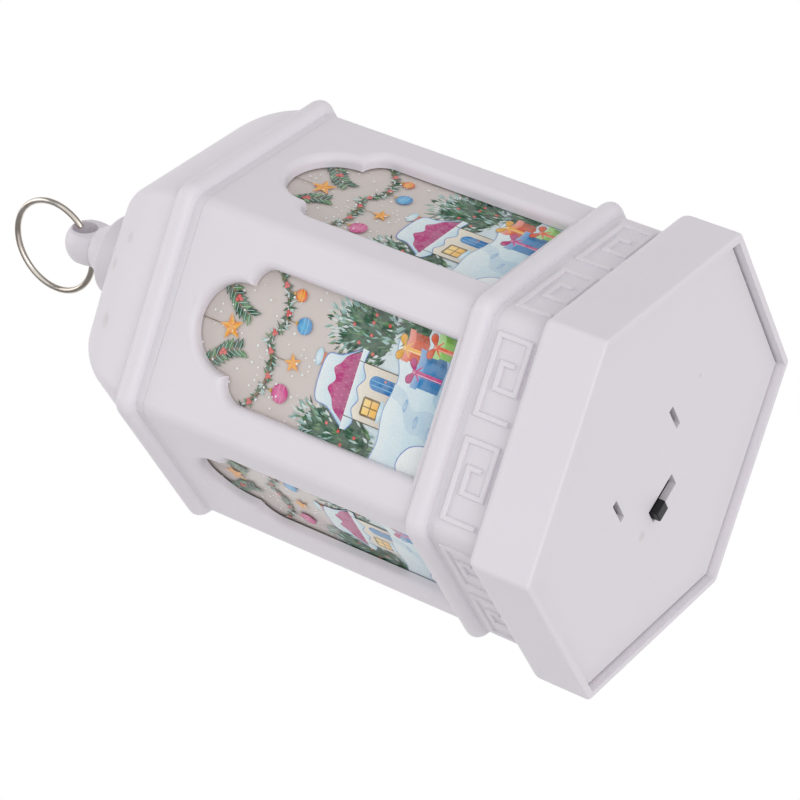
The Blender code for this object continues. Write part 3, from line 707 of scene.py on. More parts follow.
def turned(name: str, outline: list[Point2], sides: int = 48) -> bpy.types.Object:
    """Model a round solid from a disc that is extruded up an outline of (radius, height)."""
    radius, height = outline[0]
    Bench.clear()
    bpy.ops.mesh.primitive_circle_add(
        vertices=sides, radius=radius, fill_type="NGON", location=(0.0, 0.0, height)
    )
    item = Bench.settle(name)
    Bench.edit(item)
    Bench.choose(item, "edges", lambda edge: True)
    raise_loop(outline)
    bpy.ops.mesh.edge_face_add()
    bpy.ops.object.mode_set(mode="OBJECT")
    return Bench.weld(item)


def box(name: str, low: tuple, high: tuple) -> bpy.types.Object:
    """Add a cube primitive stretched between two corners, ready to be shaped."""
    middle = [(a + b) / 2 for a, b in zip(low, high)]
    Bench.clear()
    bpy.ops.mesh.primitive_cube_add(size=1.0, location=middle)
    bpy.context.object.scale = [b - a for a, b in zip(low, high)]
    return Bench.settle(name)


def face_place(corner: float, side: int, across: float, height: float, out: float) -> Vector:
    """Return the point at (across, height, out) on one flat of a hexagon."""
    angle = SIXTH_TURN * (side + 0.5)
    reach = corner * FLAT_PER_CORNER + out
    x = reach * math.cos(angle) - across * math.sin(angle)
    y = reach * math.sin(angle) + across * math.cos(angle)
    return Vector((x, y, height))


def skin(name: str, rings: list[list[Vector]]) -> bpy.types.Object:
    """Return a closed solid skinned over rings of equal count."""
    builder = bmesh.new()
    loops = [[builder.verts.new(point) for point in ring] for ring in rings]
    for lower, upper in zip(loops, loops[1:]):
        for index in range(len(lower)):
            after = (index + 1) % len(lower)
            builder.faces.new((lower[index], lower[after], upper[after], upper[index]))
    builder.faces.new(list(reversed(loops[0])))
    builder.faces.new(loops[-1])
    bmesh.ops.recalc_face_normals(builder, faces=builder.faces)
    mesh = bpy.data.meshes.new(name)
    builder.to_mesh(mesh)
    builder.free()
    item = bpy.data.objects.new(name, mesh)
    bpy.context.scene.collection.objects.link(item)
    return item


def round_top_edges(item: bpy.types.Object, level: float, width: float) -> None:
    """Round the edges that bound the faces at one level."""
    Bench.edit(item, everything=False)
    Bench.choose(
        item,
        "edges",
        lambda edge: all(abs(vertex.co.z - level) < WELD for vertex in edge.verts)
        and any(abs(face.normal.z) < 0.5 for face in edge.link_faces),
    )
    bpy.ops.mesh.bevel(offset=width, segments=3, affect="EDGES")
    bpy.ops.object.mode_set(mode="OBJECT")


# ---------------------------------------------------------------- lantern shell


@dataclass
class LanternShell:
    """Roof, windowed wall and skirt of the lantern, moulded in white plastic."""

    clearance: float = 0.3 * MM
    plinth_corner: float = 34.0 * MM
    plinth_height: float = 10.0 * MM
    plinth_round: float = 0.9 * MM
    plinth_top_round: float = 2.0 * MM
    foot_round: float = 0.5 * MM
    rim_wall: float = 1.2 * MM
    rim_depth: float = 3.1 * MM
    skirt_wall: float = 2.1 * MM
    frieze_corner: float = 31.0 * MM
    frieze_top: float = 17.4 * MM
    corner_round: float = 2.6 * MM
    collar_top: float = 20.0 * MM
    collar_step: float = 15.5 * MM
    collar_wall: float = 1.2 * MM
    key_width: float = 11.0 * MM
    key_height: float = 4.8 * MM
    key_line: float = 0.8 * MM
    key_relief: float = 0.4 * MM
    key_gap: float = 3.6 * MM
    key_base: float = 11.6 * MM
    wall_corner: float = 30.93 * MM
    wall: float = 2.0 * MM
    wall_bottom: float = 17.7 * MM
    wall_top: float = 66.8 * MM
    seam: float = 0.27 * MM
    bead_rise: float = 0.7 * MM
    bead_height: float = 3.1 * MM
    bead_swell: float = 1.68 * MM
    window_half: float = 9.8 * MM
    window_sill: float = 22.3 * MM
    shoulder_level: float = 52.7 * MM
    shoulder_round: float = 3.4 * MM
    lobe_level: float = 56.4 * MM
    lobe_radius: float = 6.6 * MM
    window_round: float = 1.2 * MM
    eave_bottom: float = 67.1 * MM
    eave_rise: float = 1.35 * MM
    eave_swell: float = 1.66 * MM
    roof_inset: float = 0.4 * MM
    riser_round: float = 21.2 * MM
    riser_start: float = 12.0
    riser_end: float = 58.4
    roof_top: float = 96.0 * MM
    roof_slope_end: float = 3.586 * MM
    plug_depth: float = 2.2 * MM
    plug_wall: float = 1.2 * MM
    neck_foot_radius: float = 6.4 * MM
    neck_foot_level: float = 92.8 * MM
    neck_shoulder: float = 96.5 * MM
    neck_top: float = 100.3 * MM
    neck_radius: float = 3.3 * MM
    brow_round: float = 0.7 * MM
    ball_radius: float = 3.7 * MM
    ball_level: float = 102.7 * MM
    eye_level: float = 103.4 * MM
    eye_bore: float = 1.9 * MM
    eye_half: float = 2.4 * MM
    eye_turn: float = math.radians(-28.0)
    plastic: MouldedPlastic = MouldedPlastic(
        "white_polypropylene", (0.745, 0.71, 0.76), (0.72, 0.68, 0.73), glow=0.12
    )
    roof_plastic: MouldedPlastic = MouldedPlastic(
        "white_polypropylene_roof",
        (0.745, 0.71, 0.76),
        (0.72, 0.68, 0.73),
        marks=(
            ((0.00628, -0.02333, 0.07961), 1.1 * MM),
            ((0.00163, -0.02116, 0.08247), 1.3 * MM),
            ((-0.00604, -0.02324, 0.07975), 1.3 * MM),
        ),
        glow=0.12,
    )

    @property
    def inner_corner(self) -> float:
        """Corner of the wall's inside."""
        return self.wall_corner - self.wall / FLAT_PER_CORNER

    @property
    def fitted_corner(self) -> float:
        """Corner of what fits inside the wall."""
        return self.inner_corner - self.clearance / FLAT_PER_CORNER

    def build(self) -> None:
        """Model and mount the skirt, the wall and the roof."""
        white = self.plastic.material()
        mount(wear(self.skirt(), white), Body.SHELL, Slot.WHITE, "base_skirt")
        mount(wear(self.window_wall(), white), Body.SHELL, Slot.WHITE, "wall_body")
        mount(wear(self.roof(), self.roof_plastic.material()), Body.SHELL, Slot.WHITE, "roof_cap")

    def skirt(self) -> bpy.types.Object:
        """Plinth, frieze with raised keys, and the collar inside the wall."""
        fitted_round = 0.3 * MM
        top_round = self.plinth_top_round
        ceiling = self.plinth_height - self.skirt_wall
        inner_rim = self.plinth_corner - self.rim_wall / FLAT_PER_CORNER
        inner_plinth = self.plinth_corner - self.skirt_wall / FLAT_PER_CORNER
        inner_frieze = self.frieze_corner - self.skirt_wall / FLAT_PER_CORNER
        inner_collar = self.fitted_corner - self.collar_wall / FLAT_PER_CORNER
        sole = (self.plinth_corner - self.foot_round, self.foot_round)
        foot = arc(sole, self.foot_round, -80, 0, 4)
        shoulder = (self.plinth_corner - top_round, self.plinth_height - top_round)
        plinth = foot + arc(shoulder, top_round, 0, 90, 8)
        plinth += [(self.frieze_corner, self.plinth_height)]
        frieze = [(self.frieze_corner, self.plinth_height), (self.frieze_corner, self.frieze_top)]
        collar = [(self.fitted_corner, self.frieze_top), (self.fitted_corner, self.collar_top)]
        inside = [
            (inner_rim, foot[0][1]),
            (inner_rim, self.rim_depth),
            (inner_plinth, self.rim_depth),
            (inner_plinth, ceiling),
            (inner_frieze, ceiling),
            (inner_frieze, self.collar_step),
            (inner_collar, self.collar_step),
            (inner_collar, self.collar_top),
        ]
        runs = [
            HexagonRun(self.plinth_round, plinth),
            HexagonRun(self.corner_round, frieze),
            HexagonRun(fitted_round, collar),
            HexagonRun(fitted_round, inside),
        ]
        item = hexagon_shell("base_skirt_moulding", runs)
        Bench.combine(item, self.keys(), "UNION")
        return Bench.smooth(item)

    def keys(self) -> bpy.types.Object:
        """Twelve raised keys, cut out of one plane and copied round the frieze."""
        half = self.key_line / 2
        columns = [0.0, 0.36 * self.key_width, 0.68 * self.key_width, self.key_width]
        rows = [0.0, 0.34 * self.key_height, 0.67 * self.key_height, self.key_height]
        bars = [
            (columns[0], columns[0], rows[0], rows[3]),
            (columns[0], columns[3], rows[3], rows[3]),
            (columns[3], columns[3], rows[0], rows[3]),
            (columns[1], columns[3], rows[0], rows[0]),
            (columns[1], columns[1], rows[0], rows[2]),
            (columns[1], columns[2], rows[2], rows[2]),
            (columns[2], columns[2], rows[1], rows[2]),
        ]
        Bench.clear()
        bpy.ops.mesh.primitive_plane_add(size=1.0)
        bpy.context.object.scale = (self.key_width + 2 * half, self.key_height + 2 * half, 1.0)
        item = Bench.settle("key")
        Bench.move(item, Vector((self.key_width / 2, self.key_height / 2, 0.0)))
        Bench.edit(item)
        for axis, places in ((0, columns), (1, rows)):
            for place in places:
                for edge in (place - half, place + half):
                    bpy.ops.mesh.select_all(action="SELECT")
                    bpy.ops.mesh.bisect(
                        plane_co=(edge, edge, 0.0),
                        plane_no=(1.0 - axis, float(axis), 0.0),
                    )

        def off_the_bars(face: bmesh.types.BMFace) -> bool:
            """Return whether a face lies on none of the key's bars."""
            x, y, _ = face.calc_center_median()
            return not any(
                left - half < x < right + half and low - half < y < high + half
                for left, right, low, high in bars
            )

        Bench.choose(item, "faces", off_the_bars)
        bpy.ops.mesh.delete(type="FACE")
        bpy.ops.mesh.select_mode(type="FACE")
        bpy.ops.mesh.select_all(action="SELECT")
        bpy.ops.mesh.extrude_region_move(
            TRANSFORM_OT_translate={"value": (0.0, 0.0, self.key_relief + self.clearance)}
        )
        bpy.ops.mesh.select_all(action="SELECT")
        bpy.ops.mesh.normals_make_consistent(inside=False)
        bpy.ops.mesh.dissolve_limited(angle_limit=math.radians(1.0))
        bpy.ops.object.mode_set(mode="OBJECT")
        round_top_edges(item, self.key_relief + self.clearance, 0.22 * MM)
        copies = []
        for side in range(SIDES):
            for left in (-self.key_gap / 2 - self.key_width, self.key_gap / 2):
                copy = item.copy()
                copy.data = item.data.copy()
                bpy.context.scene.collection.objects.link(copy)
                for vertex in copy.data.vertices:
                    across, rise, out = vertex.co
                    vertex.co = face_place(
                        self.frieze_corner,
                        side,
                        left + across,
                        self.key_base + rise,
                        out - self.clearance,
                    )
                copies.append(copy)
        bpy.data.objects.remove(item, do_unlink=True)
        return Bench.weld(Bench.join("keys", copies))

    def window_edge(self, grow: float) -> list[Point2]:
        """Return the window's edge, grown outwards, as (across, height)."""
        shoulder = self.shoulder_round + grow
        lobe = self.lobe_radius + grow
        run = self.window_half - self.shoulder_round
        drop = self.lobe_level - self.shoulder_level
        apart = math.hypot(run, drop)
        reach = (lobe * lobe - shoulder * shoulder + apart * apart) / (2 * apart)
        spread = math.sqrt(lobe * lobe - reach * reach)
        cusp = ((run * reach + drop * spread) / apart, (run * spread - drop * reach) / apart)
        shoulder_end = math.degrees(math.atan2(cusp[1] + drop, cusp[0] - run))
        lobe_start = math.degrees(math.atan2(cusp[1], cusp[0]))
        right = [(self.window_half + grow, self.window_sill)]
        right += arc((run, self.shoulder_level), shoulder, 0, shoulder_end, 10)
        right += arc((0.0, self.lobe_level), lobe, lobe_start, 90, 18)[1:]
        left = [(-across, height) for across, height in reversed(right[:-1])]
        return right + left

    def window_cutters(self) -> bpy.types.Object:
        """Six plugs that cut the windows, flared so that each edge is rounded."""
        stations = [(-self.wall - 1 * MM, 0.0)]
        for step in range(8):
            angle = math.pi / 2 * step / 8
            out = self.window_round * (math.sin(angle) - 1)
            stations.append((out, self.window_round * (1 - math.cos(angle))))
        stations.append((1 * MM, self.window_round))
        plugs = []
        for side in range(SIDES):
            rings = []
            for out, grow in stations:
                edge = self.window_edge(grow)
                rings.append([face_place(self.wall_corner, side, a, h, out) for a, h in edge])
            plugs.append(skin("window_plug", rings))
        return Bench.join("window_plugs", plugs)

    def window_wall(self) -> bpy.types.Object:
        """Six-sided wall with its foot bead and its windows."""
        bottom, top = self.wall_bottom - self.seam, self.wall_top + self.seam
        outside = [(self.wall_corner, bottom)]
        outside += half_bead(
            self.wall_corner, self.wall_bottom + self.bead_rise, self.bead_height, self.bead_swell
        )
        outside += [(self.wall_corner, top)]
        inside = [(self.inner_corner, bottom), (self.inner_corner, top)]
        runs = [
            HexagonRun(self.corner_round, outside),
            HexagonRun(self.corner_round - self.wall, inside),
        ]
        item = hexagon_shell("window_wall_moulding", runs)
        Bench.combine(item, self.window_cutters(), "DIFFERENCE")
        return Bench.smooth(item)

    def roof(self) -> bpy.types.Object:
        """Hollow convex roof with its eave bead, plug, neck and pierced eye."""
        eave_top = self.eave_bottom + self.eave_rise + self.bead_height
        start, end = math.radians(self.riser_start), math.radians(self.riser_end)
        riser = (
            self.wall_corner - self.roof_inset - self.riser_round * math.cos(start),
            eave_top - self.riser_round * math.sin(start),
        )
        outside = [(self.wall_corner, self.eave_bottom)]
        outside += half_bead(
            self.wall_corner, self.eave_bottom + self.eave_rise, self.bead_height, self.eave_swell
        )
        outside += arc(riser, self.riser_round, self.riser_start, self.riser_end, 24)
        slope_corner, slope_level = outside[-1]
        for share in (0.35, 0.7, 0.85, 1.0):
            corner = slope_corner + (self.roof_slope_end - slope_corner) * share
            outside.append((corner, slope_level + (slope_corner - corner) / math.tan(end)))
        plug_inner = self.fitted_corner - self.plug_wall / FLAT_PER_CORNER
        inside = [(plug_inner, self.eave_bottom - self.plug_depth)]
        lining = []
        for step in range(13):
            angle = start * 2 + (end - start * 2) * step / 12
            reach = self.riser_round - self.wall * 1.1
            lining.append((riser[0] + reach * math.cos(angle), riser[1] + reach * math.sin(angle)))
        inside.append((plug_inner, lining[0][1]))
        inside += lining
        ceiling = self.roof_top - self.wall * 1.2
        inside.append((lining[-1][0] - (ceiling - lining[-1][1]) * math.tan(end), ceiling))
        plug = [
            (self.fitted_corner, self.eave_bottom - self.plug_depth),
            (self.fitted_corner, self.eave_bottom),
        ]
        runs = [
            HexagonRun(self.corner_round, outside, close_top=True),
            HexagonRun(0.3 * MM, plug),
            HexagonRun(0.3 * MM, inside, close_top=True),
        ]
        item = hexagon_shell("roof_moulding", runs)
        Bench.combine(item, self.eye(), "UNION")
        Bench.combine(item, self.eye_hole(), "DIFFERENCE")
        return Bench.smooth(item, 40.0)

    def eye(self) -> bpy.types.Object:
        """Neck and ball of the eye, with a flat cheek at each end of its bore."""
        outline = [(self.neck_foot_radius, self.neck_foot_level)]
        outline += [(self.neck_foot_radius, self.neck_shoulder - 0.5 * MM)]
        brow = (self.neck_foot_radius - self.brow_round, self.neck_shoulder - 0.4 * MM)
        outline += arc(brow, self.brow_round, 0, 50, 5)
        for share in (0.25, 0.5, 0.75):
            dip = 0.25 * MM * math.sin(math.pi * share)
            radius = outline[6][0] + (self.neck_radius - outline[6][0]) * share - dip
            level = outline[6][1] + (self.neck_top - outline[6][1]) * share - dip
            outline.append((radius, level))
        rise = self.ball_level - self.neck_top
        swell = self.ball_radius - self.neck_radius
        for step in range(10):
            angle = math.pi / 2 * step / 10
            radius = self.neck_radius + swell * math.sin(angle)
            outline.append((radius, self.ball_level - rise * math.cos(angle)))
        outline += arc((0.0, self.ball_level), self.ball_radius, 0, 84, 14)
        item = turned("eye_tool", outline, 64)
        Bench.edit(item, everything=False)
        for side in (-1.0, 1.0):
            Bench.choose(
                item,
                "verts",
                lambda vertex: vertex.co.z > self.neck_top + WELD
                and vertex.co.x * side > self.eye_half,
            )
            cheek = (side * self.eye_half, 0, 0)
            bpy.ops.transform.resize(value=(0.0, 1.0, 1.0), center_override=cheek)
        bpy.ops.object.mode_set(mode="OBJECT")
        Bench.turn(item, self.eye_turn, Vector((0, 0, 0)))
        return item

    def eye_hole(self) -> bpy.types.Object:
        """Bore through the eye, flared at both ends."""
        flare = 0.15 * MM
        end = self.eye_half + 1 * MM
        mouth = self.eye_half - flare
        outline = [(self.eye_bore + end - mouth, -end)]
        outline += [(self.eye_bore + flare * 0.35, -mouth - flare * 0.35)]
        outline += [(self.eye_bore, -mouth + 0.1 * MM)]
        outline += [(radius, -level) for radius, level in reversed(outline)]
        item = turned("eye_hole_tool", outline, 48)
        Bench.turn(item, math.pi / 2, Vector((0, 0, 0)), "Y")
        Bench.turn(item, self.eye_turn, Vector((0, 0, 0)))
        Bench.move(item, Vector((0, 0, self.eye_level)))
        return item


# ---------------------------------------------------------------- printed sleeve


class Picture:
    """Flat picture made of coloured shapes, each laid a hair above the one before.

    Places are in millimetres on the window: across from its middle, up from its sill.
    """

    STEP = 0.00022

    def __init__(self, seed: int) -> None:
        """Start an empty picture with its own seeded hand."""
        self.hand = random.Random(seed)
        self.points: list[tuple[float, float, float]] = []
        self.tints: list[Colour] = []
        self.faces: list[tuple[int, int, int]] = []
        self.layer = 0.0

    def put(self, points: list[Point2], tints: list[Colour], faces: list[tuple]) -> None:
        """Add triangles, turned to face outwards.

        Args:
            points: corners of the shape.
            tints: colour at each corner.
            faces: triangles as indices of the corners.
        """
        start = len(self.points)
        self.points += [(x, y, self.layer) for x, y in points]
        self.tints += tints
        for a, b, c in faces:
            (ax, ay), (bx, by), (cx, cy) = points[a], points[b], points[c]
            left = (bx - ax) * (cy - ay) - (by - ay) * (cx - ax) > 0
            corners = (a, b, c) if left else (a, c, b)
            self.faces.append(tuple(start + corner for corner in corners))
        self.layer += self.STEP

    def area(self, points: list[Point2], low: Colour, high: Colour | None = None) -> None:
        """Fill an outline, shading from a low colour up to a high one."""
        levels = [y for _, y in points]
        bottom, span = min(levels), max(max(levels) - min(levels), 0.01)
        tints = [mixed(low, high or low, (y - bottom) / span) for y in levels]
        flat = [Vector((x, y, 0.0)) for x, y in points]
        self.put(points, tints, [tuple(face) for face in tessellate_polygon([flat])])

    def oval(
        self, centre: Point2, radii: Point2, inner: Colour, outer: Colour, wobble: float = 0.0
    ) -> None:
        """Fill an oval, shading from a bright middle off its centre to its rim."""
        steps = 26
        points = [(centre[0] - radii[0] * 0.3, centre[1] + radii[1] * 0.3)]
        for step in range(steps):
            angle = math.tau * step / steps
            reach = 1 + wobble * self.hand.uniform(-1, 1)
            run, rise = reach * math.cos(angle), reach * math.sin(angle)
            points.append((centre[0] + radii[0] * run, centre[1] + radii[1] * rise))
        faces = [(0, 1 + step, 1 + (step + 1) % steps) for step in range(steps)]
        self.put(points, [inner] + [outer] * steps, faces)

    def line(
        self, path: list[Point2], width: float, tint: Colour, end_width: float | None = None
    ) -> None:
        """Draw a line whose width runs from one value to another."""
        last = len(path) - 1
        end = width if end_width is None else end_width
        points, faces = [], []
        for index, (x, y) in enumerate(path):
            ahead, behind = path[min(index + 1, last)], path[max(index - 1, 0)]
            run, rise = ahead[0] - behind[0], ahead[1] - behind[1]
            length = math.hypot(run, rise) or 1.0
            half = (width + (end - width) * index / last) / 2
            points += [
                (x - rise / length * half, y + run / length * half),
                (x + rise / length * half, y - run / length * half),
            ]
        for index in range(last):
            corner = 2 * index
            faces += [(corner, corner + 1, corner + 2), (corner + 1, corner + 3, corner + 2)]
        self.put(points, [tint] * len(points), faces)

    def leaf(self, start: Point2, angle: float, length: float, width: float, tint: Colour) -> None:
        """Draw one pointed brush stroke."""
        run, rise = math.cos(angle), math.sin(angle)
        points = []
        for along, aside in ((0.0, 0.0), (0.4, -0.5), (1.0, 0.0), (0.4, 0.5)):
            points.append(
                (
                    start[0] + run * along * length - rise * aside * width,
                    start[1] + rise * along * length + run * aside * width,
                )
            )
        dark = mixed(tint, (0.0, 0.0, 0.0), 0.25)
        self.put(points, [dark, tint, tint, dark], [(0, 1, 2), (0, 2, 3)])

    def mesh(self, name: str, attribute: str, place: Placer) -> bpy.types.Object:
        """Turn the picture into an object.

        Args:
            name: the new object's name.
            attribute: name of its colour attribute.
            place: a function from (across, up, layer) to a point in metres.

        Returns:
            The object.
        """
        mesh = bpy.data.meshes.new(name)
        mesh.from_pydata([place(*point) for point in self.points], [], self.faces)
        colours = mesh.color_attributes.new(attribute, "FLOAT_COLOR", "POINT")
        colours.data.foreach_set("color", [value for tint in self.tints for value in paint(tint)])
        item = bpy.data.objects.new(name, mesh)
        bpy.context.scene.collection.objects.link(item)
        return item


def mixed(first: Colour, second: Colour, share: float) -> Colour:
    """Return a colour between two."""
    return tuple(a + (b - a) * share for a, b in zip(first, second))


def curve(points: list[Point2] | tuple[Point2, ...], steps: int = 10) -> list[Point2]:
    """Return a smooth curve through points."""
    ends = [points[0], *points, points[-1]]
    path = []
    for before, start, end, after in zip(ends, ends[1:], ends[2:], ends[3:]):
        for step in range(steps):
            t = step / steps
            place = []
            for a, b, c, d in zip(before, start, end, after):
                square = (2 * a - 5 * b + 4 * c - d) * t**2
                cube = (3 * b - a - 3 * c + d) * t**3
                place.append(0.5 * (2 * b + (c - a) * t + square + cube))
            path.append(tuple(place))
    return path + [points[-1]]


class WinterScene(Picture):
    """Own winter picture: a cottage, hedges and parcels under a garland."""

    SNOW_LOW = ink(178, 214, 228)
    SNOW_HIGH = ink(228, 236, 238)
    SNOW_LINE = ink(116, 140, 200)
    GREENS = (ink(28, 70, 48), ink(44, 96, 66), ink(70, 122, 86), ink(96, 140, 84))
    FROST = (ink(176, 206, 202), ink(214, 226, 224), ink(140, 182, 176))
    TWIG = ink(124, 102, 66)
    TWIG_DARK = ink(84, 66, 44)
    MAGENTA = ink(196, 58, 130)
    MAGENTA_LIGHT = ink(226, 120, 170)
    BLUE = ink(38, 132, 196)
    BLUE_LIGHT = ink(118, 190, 226)
    ORANGE = ink(226, 92, 44)
    YELLOW = ink(240, 178, 70)
    LIME = ink(140, 204, 84)
    RED = ink(196, 56, 60)
    CREAM = ink(236, 228, 212)
    WALL_SHADE = ink(206, 196, 184)
    BRIGHT = (1.0, 1.0, 1.0)
    DEEP = (0.0, 0.0, 0.0)

    ROOF_SNOW_TOP = (
        (-7.3, 14.5), (-5.4, 17.4), (-4.9, 19.6), (-1.7, 20.1),
        (1.5, 19.6), (2.1, 17.4), (3.9, 14.4),
    )
    ROOF_SNOW_EDGE = (
        (3.4, 15.0), (2.2, 16.6), (1.0, 17.3), (0.0, 18.1), (-1.4, 17.4),
        (-2.8, 18.2), (-4.0, 17.2), (-5.4, 16.4), (-6.7, 14.4),
    )
    EAVES_SNOW = (
        (-7.4, 13.7), (-5.9, 13.0), (-4.4, 13.7), (-2.9, 13.1),
        (-1.4, 13.8), (0.2, 13.0), (1.8, 13.8), (3.9, 13.6),
    )
    GARLAND_CORD = (
        (-11.0, 31.4), (-6.8, 28.4), (-2.4, 28.0), (0.4, 29.4),
        (3.6, 27.6), (7.4, 28.6), (11.0, 32.0),
    )

    def draw(self) -> "WinterScene":
        """Draw the picture from back to front."""
        self.hills()
        self.hedge((6.4, 15.2), (4.6, 5.4), 300)
        self.hedge((-8.2, 15.0), (3.4, 6.6), 240)
        self.cottage()
        self.ground()
        self.hedge((9.4, 7.6), (2.6, 2.6), 90)
        self.parcels()
        self.drifts()
        self.garland()
        self.sprays()
        self.flakes()
        return self

    def hills(self) -> None:
        """Far hills, paler towards the sky."""
        back = curve([(-11.5, 15.5), (-6.0, 19.2), (-1.0, 16.0), (4.0, 18.4), (11.5, 15.0)])
        self.area(back + [(11.5, 4.0), (-11.5, 4.0)], ink(198, 222, 232), ink(216, 214, 210))

    def hedge(self, centre: Point2, radii: Point2, count: int) -> None:
        """Rounded evergreen bush of many brush strokes, with snow on top and a few berries."""
        self.oval(centre, (radii[0] * 0.86, radii[1] * 0.86), self.GREENS[1], self.GREENS[0], 0.05)
        strokes = []
        for _ in range(count):
            angle = self.hand.uniform(0, math.tau)
            reach = math.sqrt(self.hand.random())
            strokes.append((reach * math.sin(angle), reach * math.cos(angle)))
        for rise, run in sorted(strokes, reverse=True):
            frosty = self.hand.random() < 0.16 + 0.5 * max(rise, 0.0)
            tint = self.hand.choice(self.FROST if frosty else self.GREENS)
            lean = math.pi / 2 - run * 1.1 + self.hand.uniform(-0.45, 0.45)
            start = (centre[0] + run * radii[0], centre[1] + rise * radii[1])
            self.leaf(start, lean, self.hand.uniform(0.9, 1.9), self.hand.uniform(0.26, 0.5), tint)
        for _ in range(count // 40):
            spot = (
                centre[0] + radii[0] * self.hand.uniform(-0.7, 0.7),
                centre[1] + radii[1] * self.hand.uniform(-0.7, 0.6),
            )
            self.oval(spot, (0.26, 0.26), ink(226, 110, 100), self.RED)

    def cottage(self) -> None:
        """Small cottage with a snowy magenta roof, a lit window and a blue door."""
        chimney = [(-0.1, 16.4), (1.5, 16.4), (1.5, 20.6), (-0.1, 20.6)]
        self.area(chimney, ink(176, 92, 60), ink(206, 118, 78))
        self.oval((0.7, 20.9), (1.25, 0.6), self.SNOW_HIGH, self.SNOW_LOW, 0.04)
        wall = [(-5.6, 8.0), (2.2, 8.0), (2.2, 14.6), (-5.6, 14.6)]
        self.area(wall, self.WALL_SHADE, self.CREAM)
        roof = [(-7.0, 13.9), (3.6, 13.9), (1.4, 19.0), (-4.8, 19.0)]
        self.area(roof, ink(160, 40, 110), self.MAGENTA)
        for row in range(4):
            level = 14.9 + row
            half = 5.0 - row * 0.42
            for tile in range(-5, 6):
                x = -1.7 + (tile + 0.5 * (row % 2)) * half / 5
                self.line([(x, level), (x - 0.05, level - 0.45)], 0.12, self.MAGENTA_LIGHT, 0.04)
        cap = curve(self.ROOF_SNOW_TOP)
        self.area(cap + curve(self.ROOF_SNOW_EDGE), self.SNOW_LOW, self.SNOW_HIGH)
        self.line(cap, 0.16, self.SNOW_LINE)
        eaves = curve(self.EAVES_SNOW)
        self.area(eaves + [(4.0, 14.6), (-7.5, 14.6)], self.SNOW_LOW, self.SNOW_HIGH)
        self.line(eaves, 0.14, self.SNOW_LINE)
        door = [(-0.9, 8.0), (1.1, 8.0), (1.1, 11.2)]
        door += arc((0.1, 11.2), 1.0, 0, 180, 8) + [(-0.9, 11.2)]
        self.area(door, ink(26, 96, 160), self.BLUE)
        for x in (-0.3, 0.35):
            self.line([(x, 8.1), (x, 11.9)], 0.1, self.BLUE_LIGHT)
        self.oval((0.75, 9.8), (0.16, 0.16), self.YELLOW, self.ORANGE)
        pane = [(-4.6, 9.6), (-2.2, 9.6), (-2.2, 12.2), (-4.6, 12.2)]
        self.area(pane, self.YELLOW, ink(250, 220, 140))
        for start, end in zip(pane, pane[1:] + pane[:1]):
            self.line([start, end], 0.3, self.TWIG)
        self.line([(-3.4, 9.6), (-3.4, 12.2)], 0.16, self.TWIG)
        self.line([(-4.6, 10.9), (-2.2, 10.9)], 0.16, self.TWIG)
        self.oval((-3.4, 9.3), (1.6, 0.35), self.SNOW_HIGH, self.SNOW_LOW)
        self.line(wall[:1] + [wall[3]], 0.12, self.TWIG_DARK)
        self.line([wall[1], wall[2]], 0.12, self.TWIG_DARK)

    def ground(self) -> None:
        """Snow field, bluer towards the sill, with a path to the door."""
        top = curve([(-11.5, 9.4), (-7.5, 8.4), (-3.0, 8.9), (2.0, 8.1), (6.5, 9.6), (11.5, 8.2)])
        self.area(top + [(11.5, -1.5), (-11.5, -1.5)], self.SNOW_LOW, self.SNOW_HIGH)
        self.line(top, 0.14, mixed(self.SNOW_LINE, self.SNOW_LOW, 0.4))
        way = curve([(-0.8, 8.3), (-1.6, 6.4), (-4.4, 4.4), (-4.6, 2.0), (-7.0, -1.2)])
        back = curve([(-2.2, -1.2), (-0.8, 1.8), (-1.4, 4.4), (0.6, 6.4), (1.0, 8.3)])
        self.area(way + back, ink(166, 200, 222), ink(206, 222, 230))
        for level, shift in ((1.2, -3.6), (3.6, -2.9), (5.8, -1.2)):
            self.oval((shift, level), (0.9, 0.32), ink(190, 214, 226), ink(140, 176, 210), 0.05)

    def box(self, low: Point2, high: Point2, tint: Colour, ribbon: Colour) -> None:
        """Wrapped parcel with a lid, a crossed ribbon and a bow."""
        (left, bottom), (right, top) = low, high
        dark = mixed(tint, self.DEEP, 0.3)
        side = (right - left) * 0.24
        fold = [(right - side, bottom - 0.3), (right - side, top - 0.2)]
        self.area([(left, bottom), *fold, (left, top)], dark, tint)
        flank = [fold[0], (right, bottom + 0.2), (right, top), fold[1]]
        self.area(flank, mixed(dark, self.DEEP, 0.25), dark)
        lid = [(left - 0.25, top - 0.9), (right - side, top - 1.2), (right + 0.25, top - 0.8)]
        lid += [(right + 0.25, top + 0.1), (right - side, top - 0.1), (left - 0.25, top + 0.2)]
        self.area(lid, mixed(tint, self.BRIGHT, 0.1), mixed(tint, self.BRIGHT, 0.3))
        middle = (left + right - side) / 2
        self.line([(middle, bottom - 0.1), (middle, top + 0.05)], 0.62, ribbon)
        shine = mixed(ribbon, self.BRIGHT, 0.5)
        self.line([(middle - 0.18, bottom), (middle - 0.18, top)], 0.1, shine)
        for way in (-1, 1):
            turns = ((0.0, 0.0), (0.9, 1.1), (1.7, 0.9), (1.5, 0.2), (0.0, 0.0))
            loop = curve([(middle + way * run, top + rise) for run, rise in turns], 6)
            self.area(loop, mixed(ribbon, self.DEEP, 0.25), ribbon)
            self.line(loop, 0.1, mixed(ribbon, self.DEEP, 0.45))
            self.line([(middle, top), (middle + way * 1.0, top - 0.9)], 0.34, ribbon, 0.16)
        self.oval((middle, top + 0.12), (0.36, 0.32), mixed(ribbon, self.BRIGHT, 0.4), ribbon)

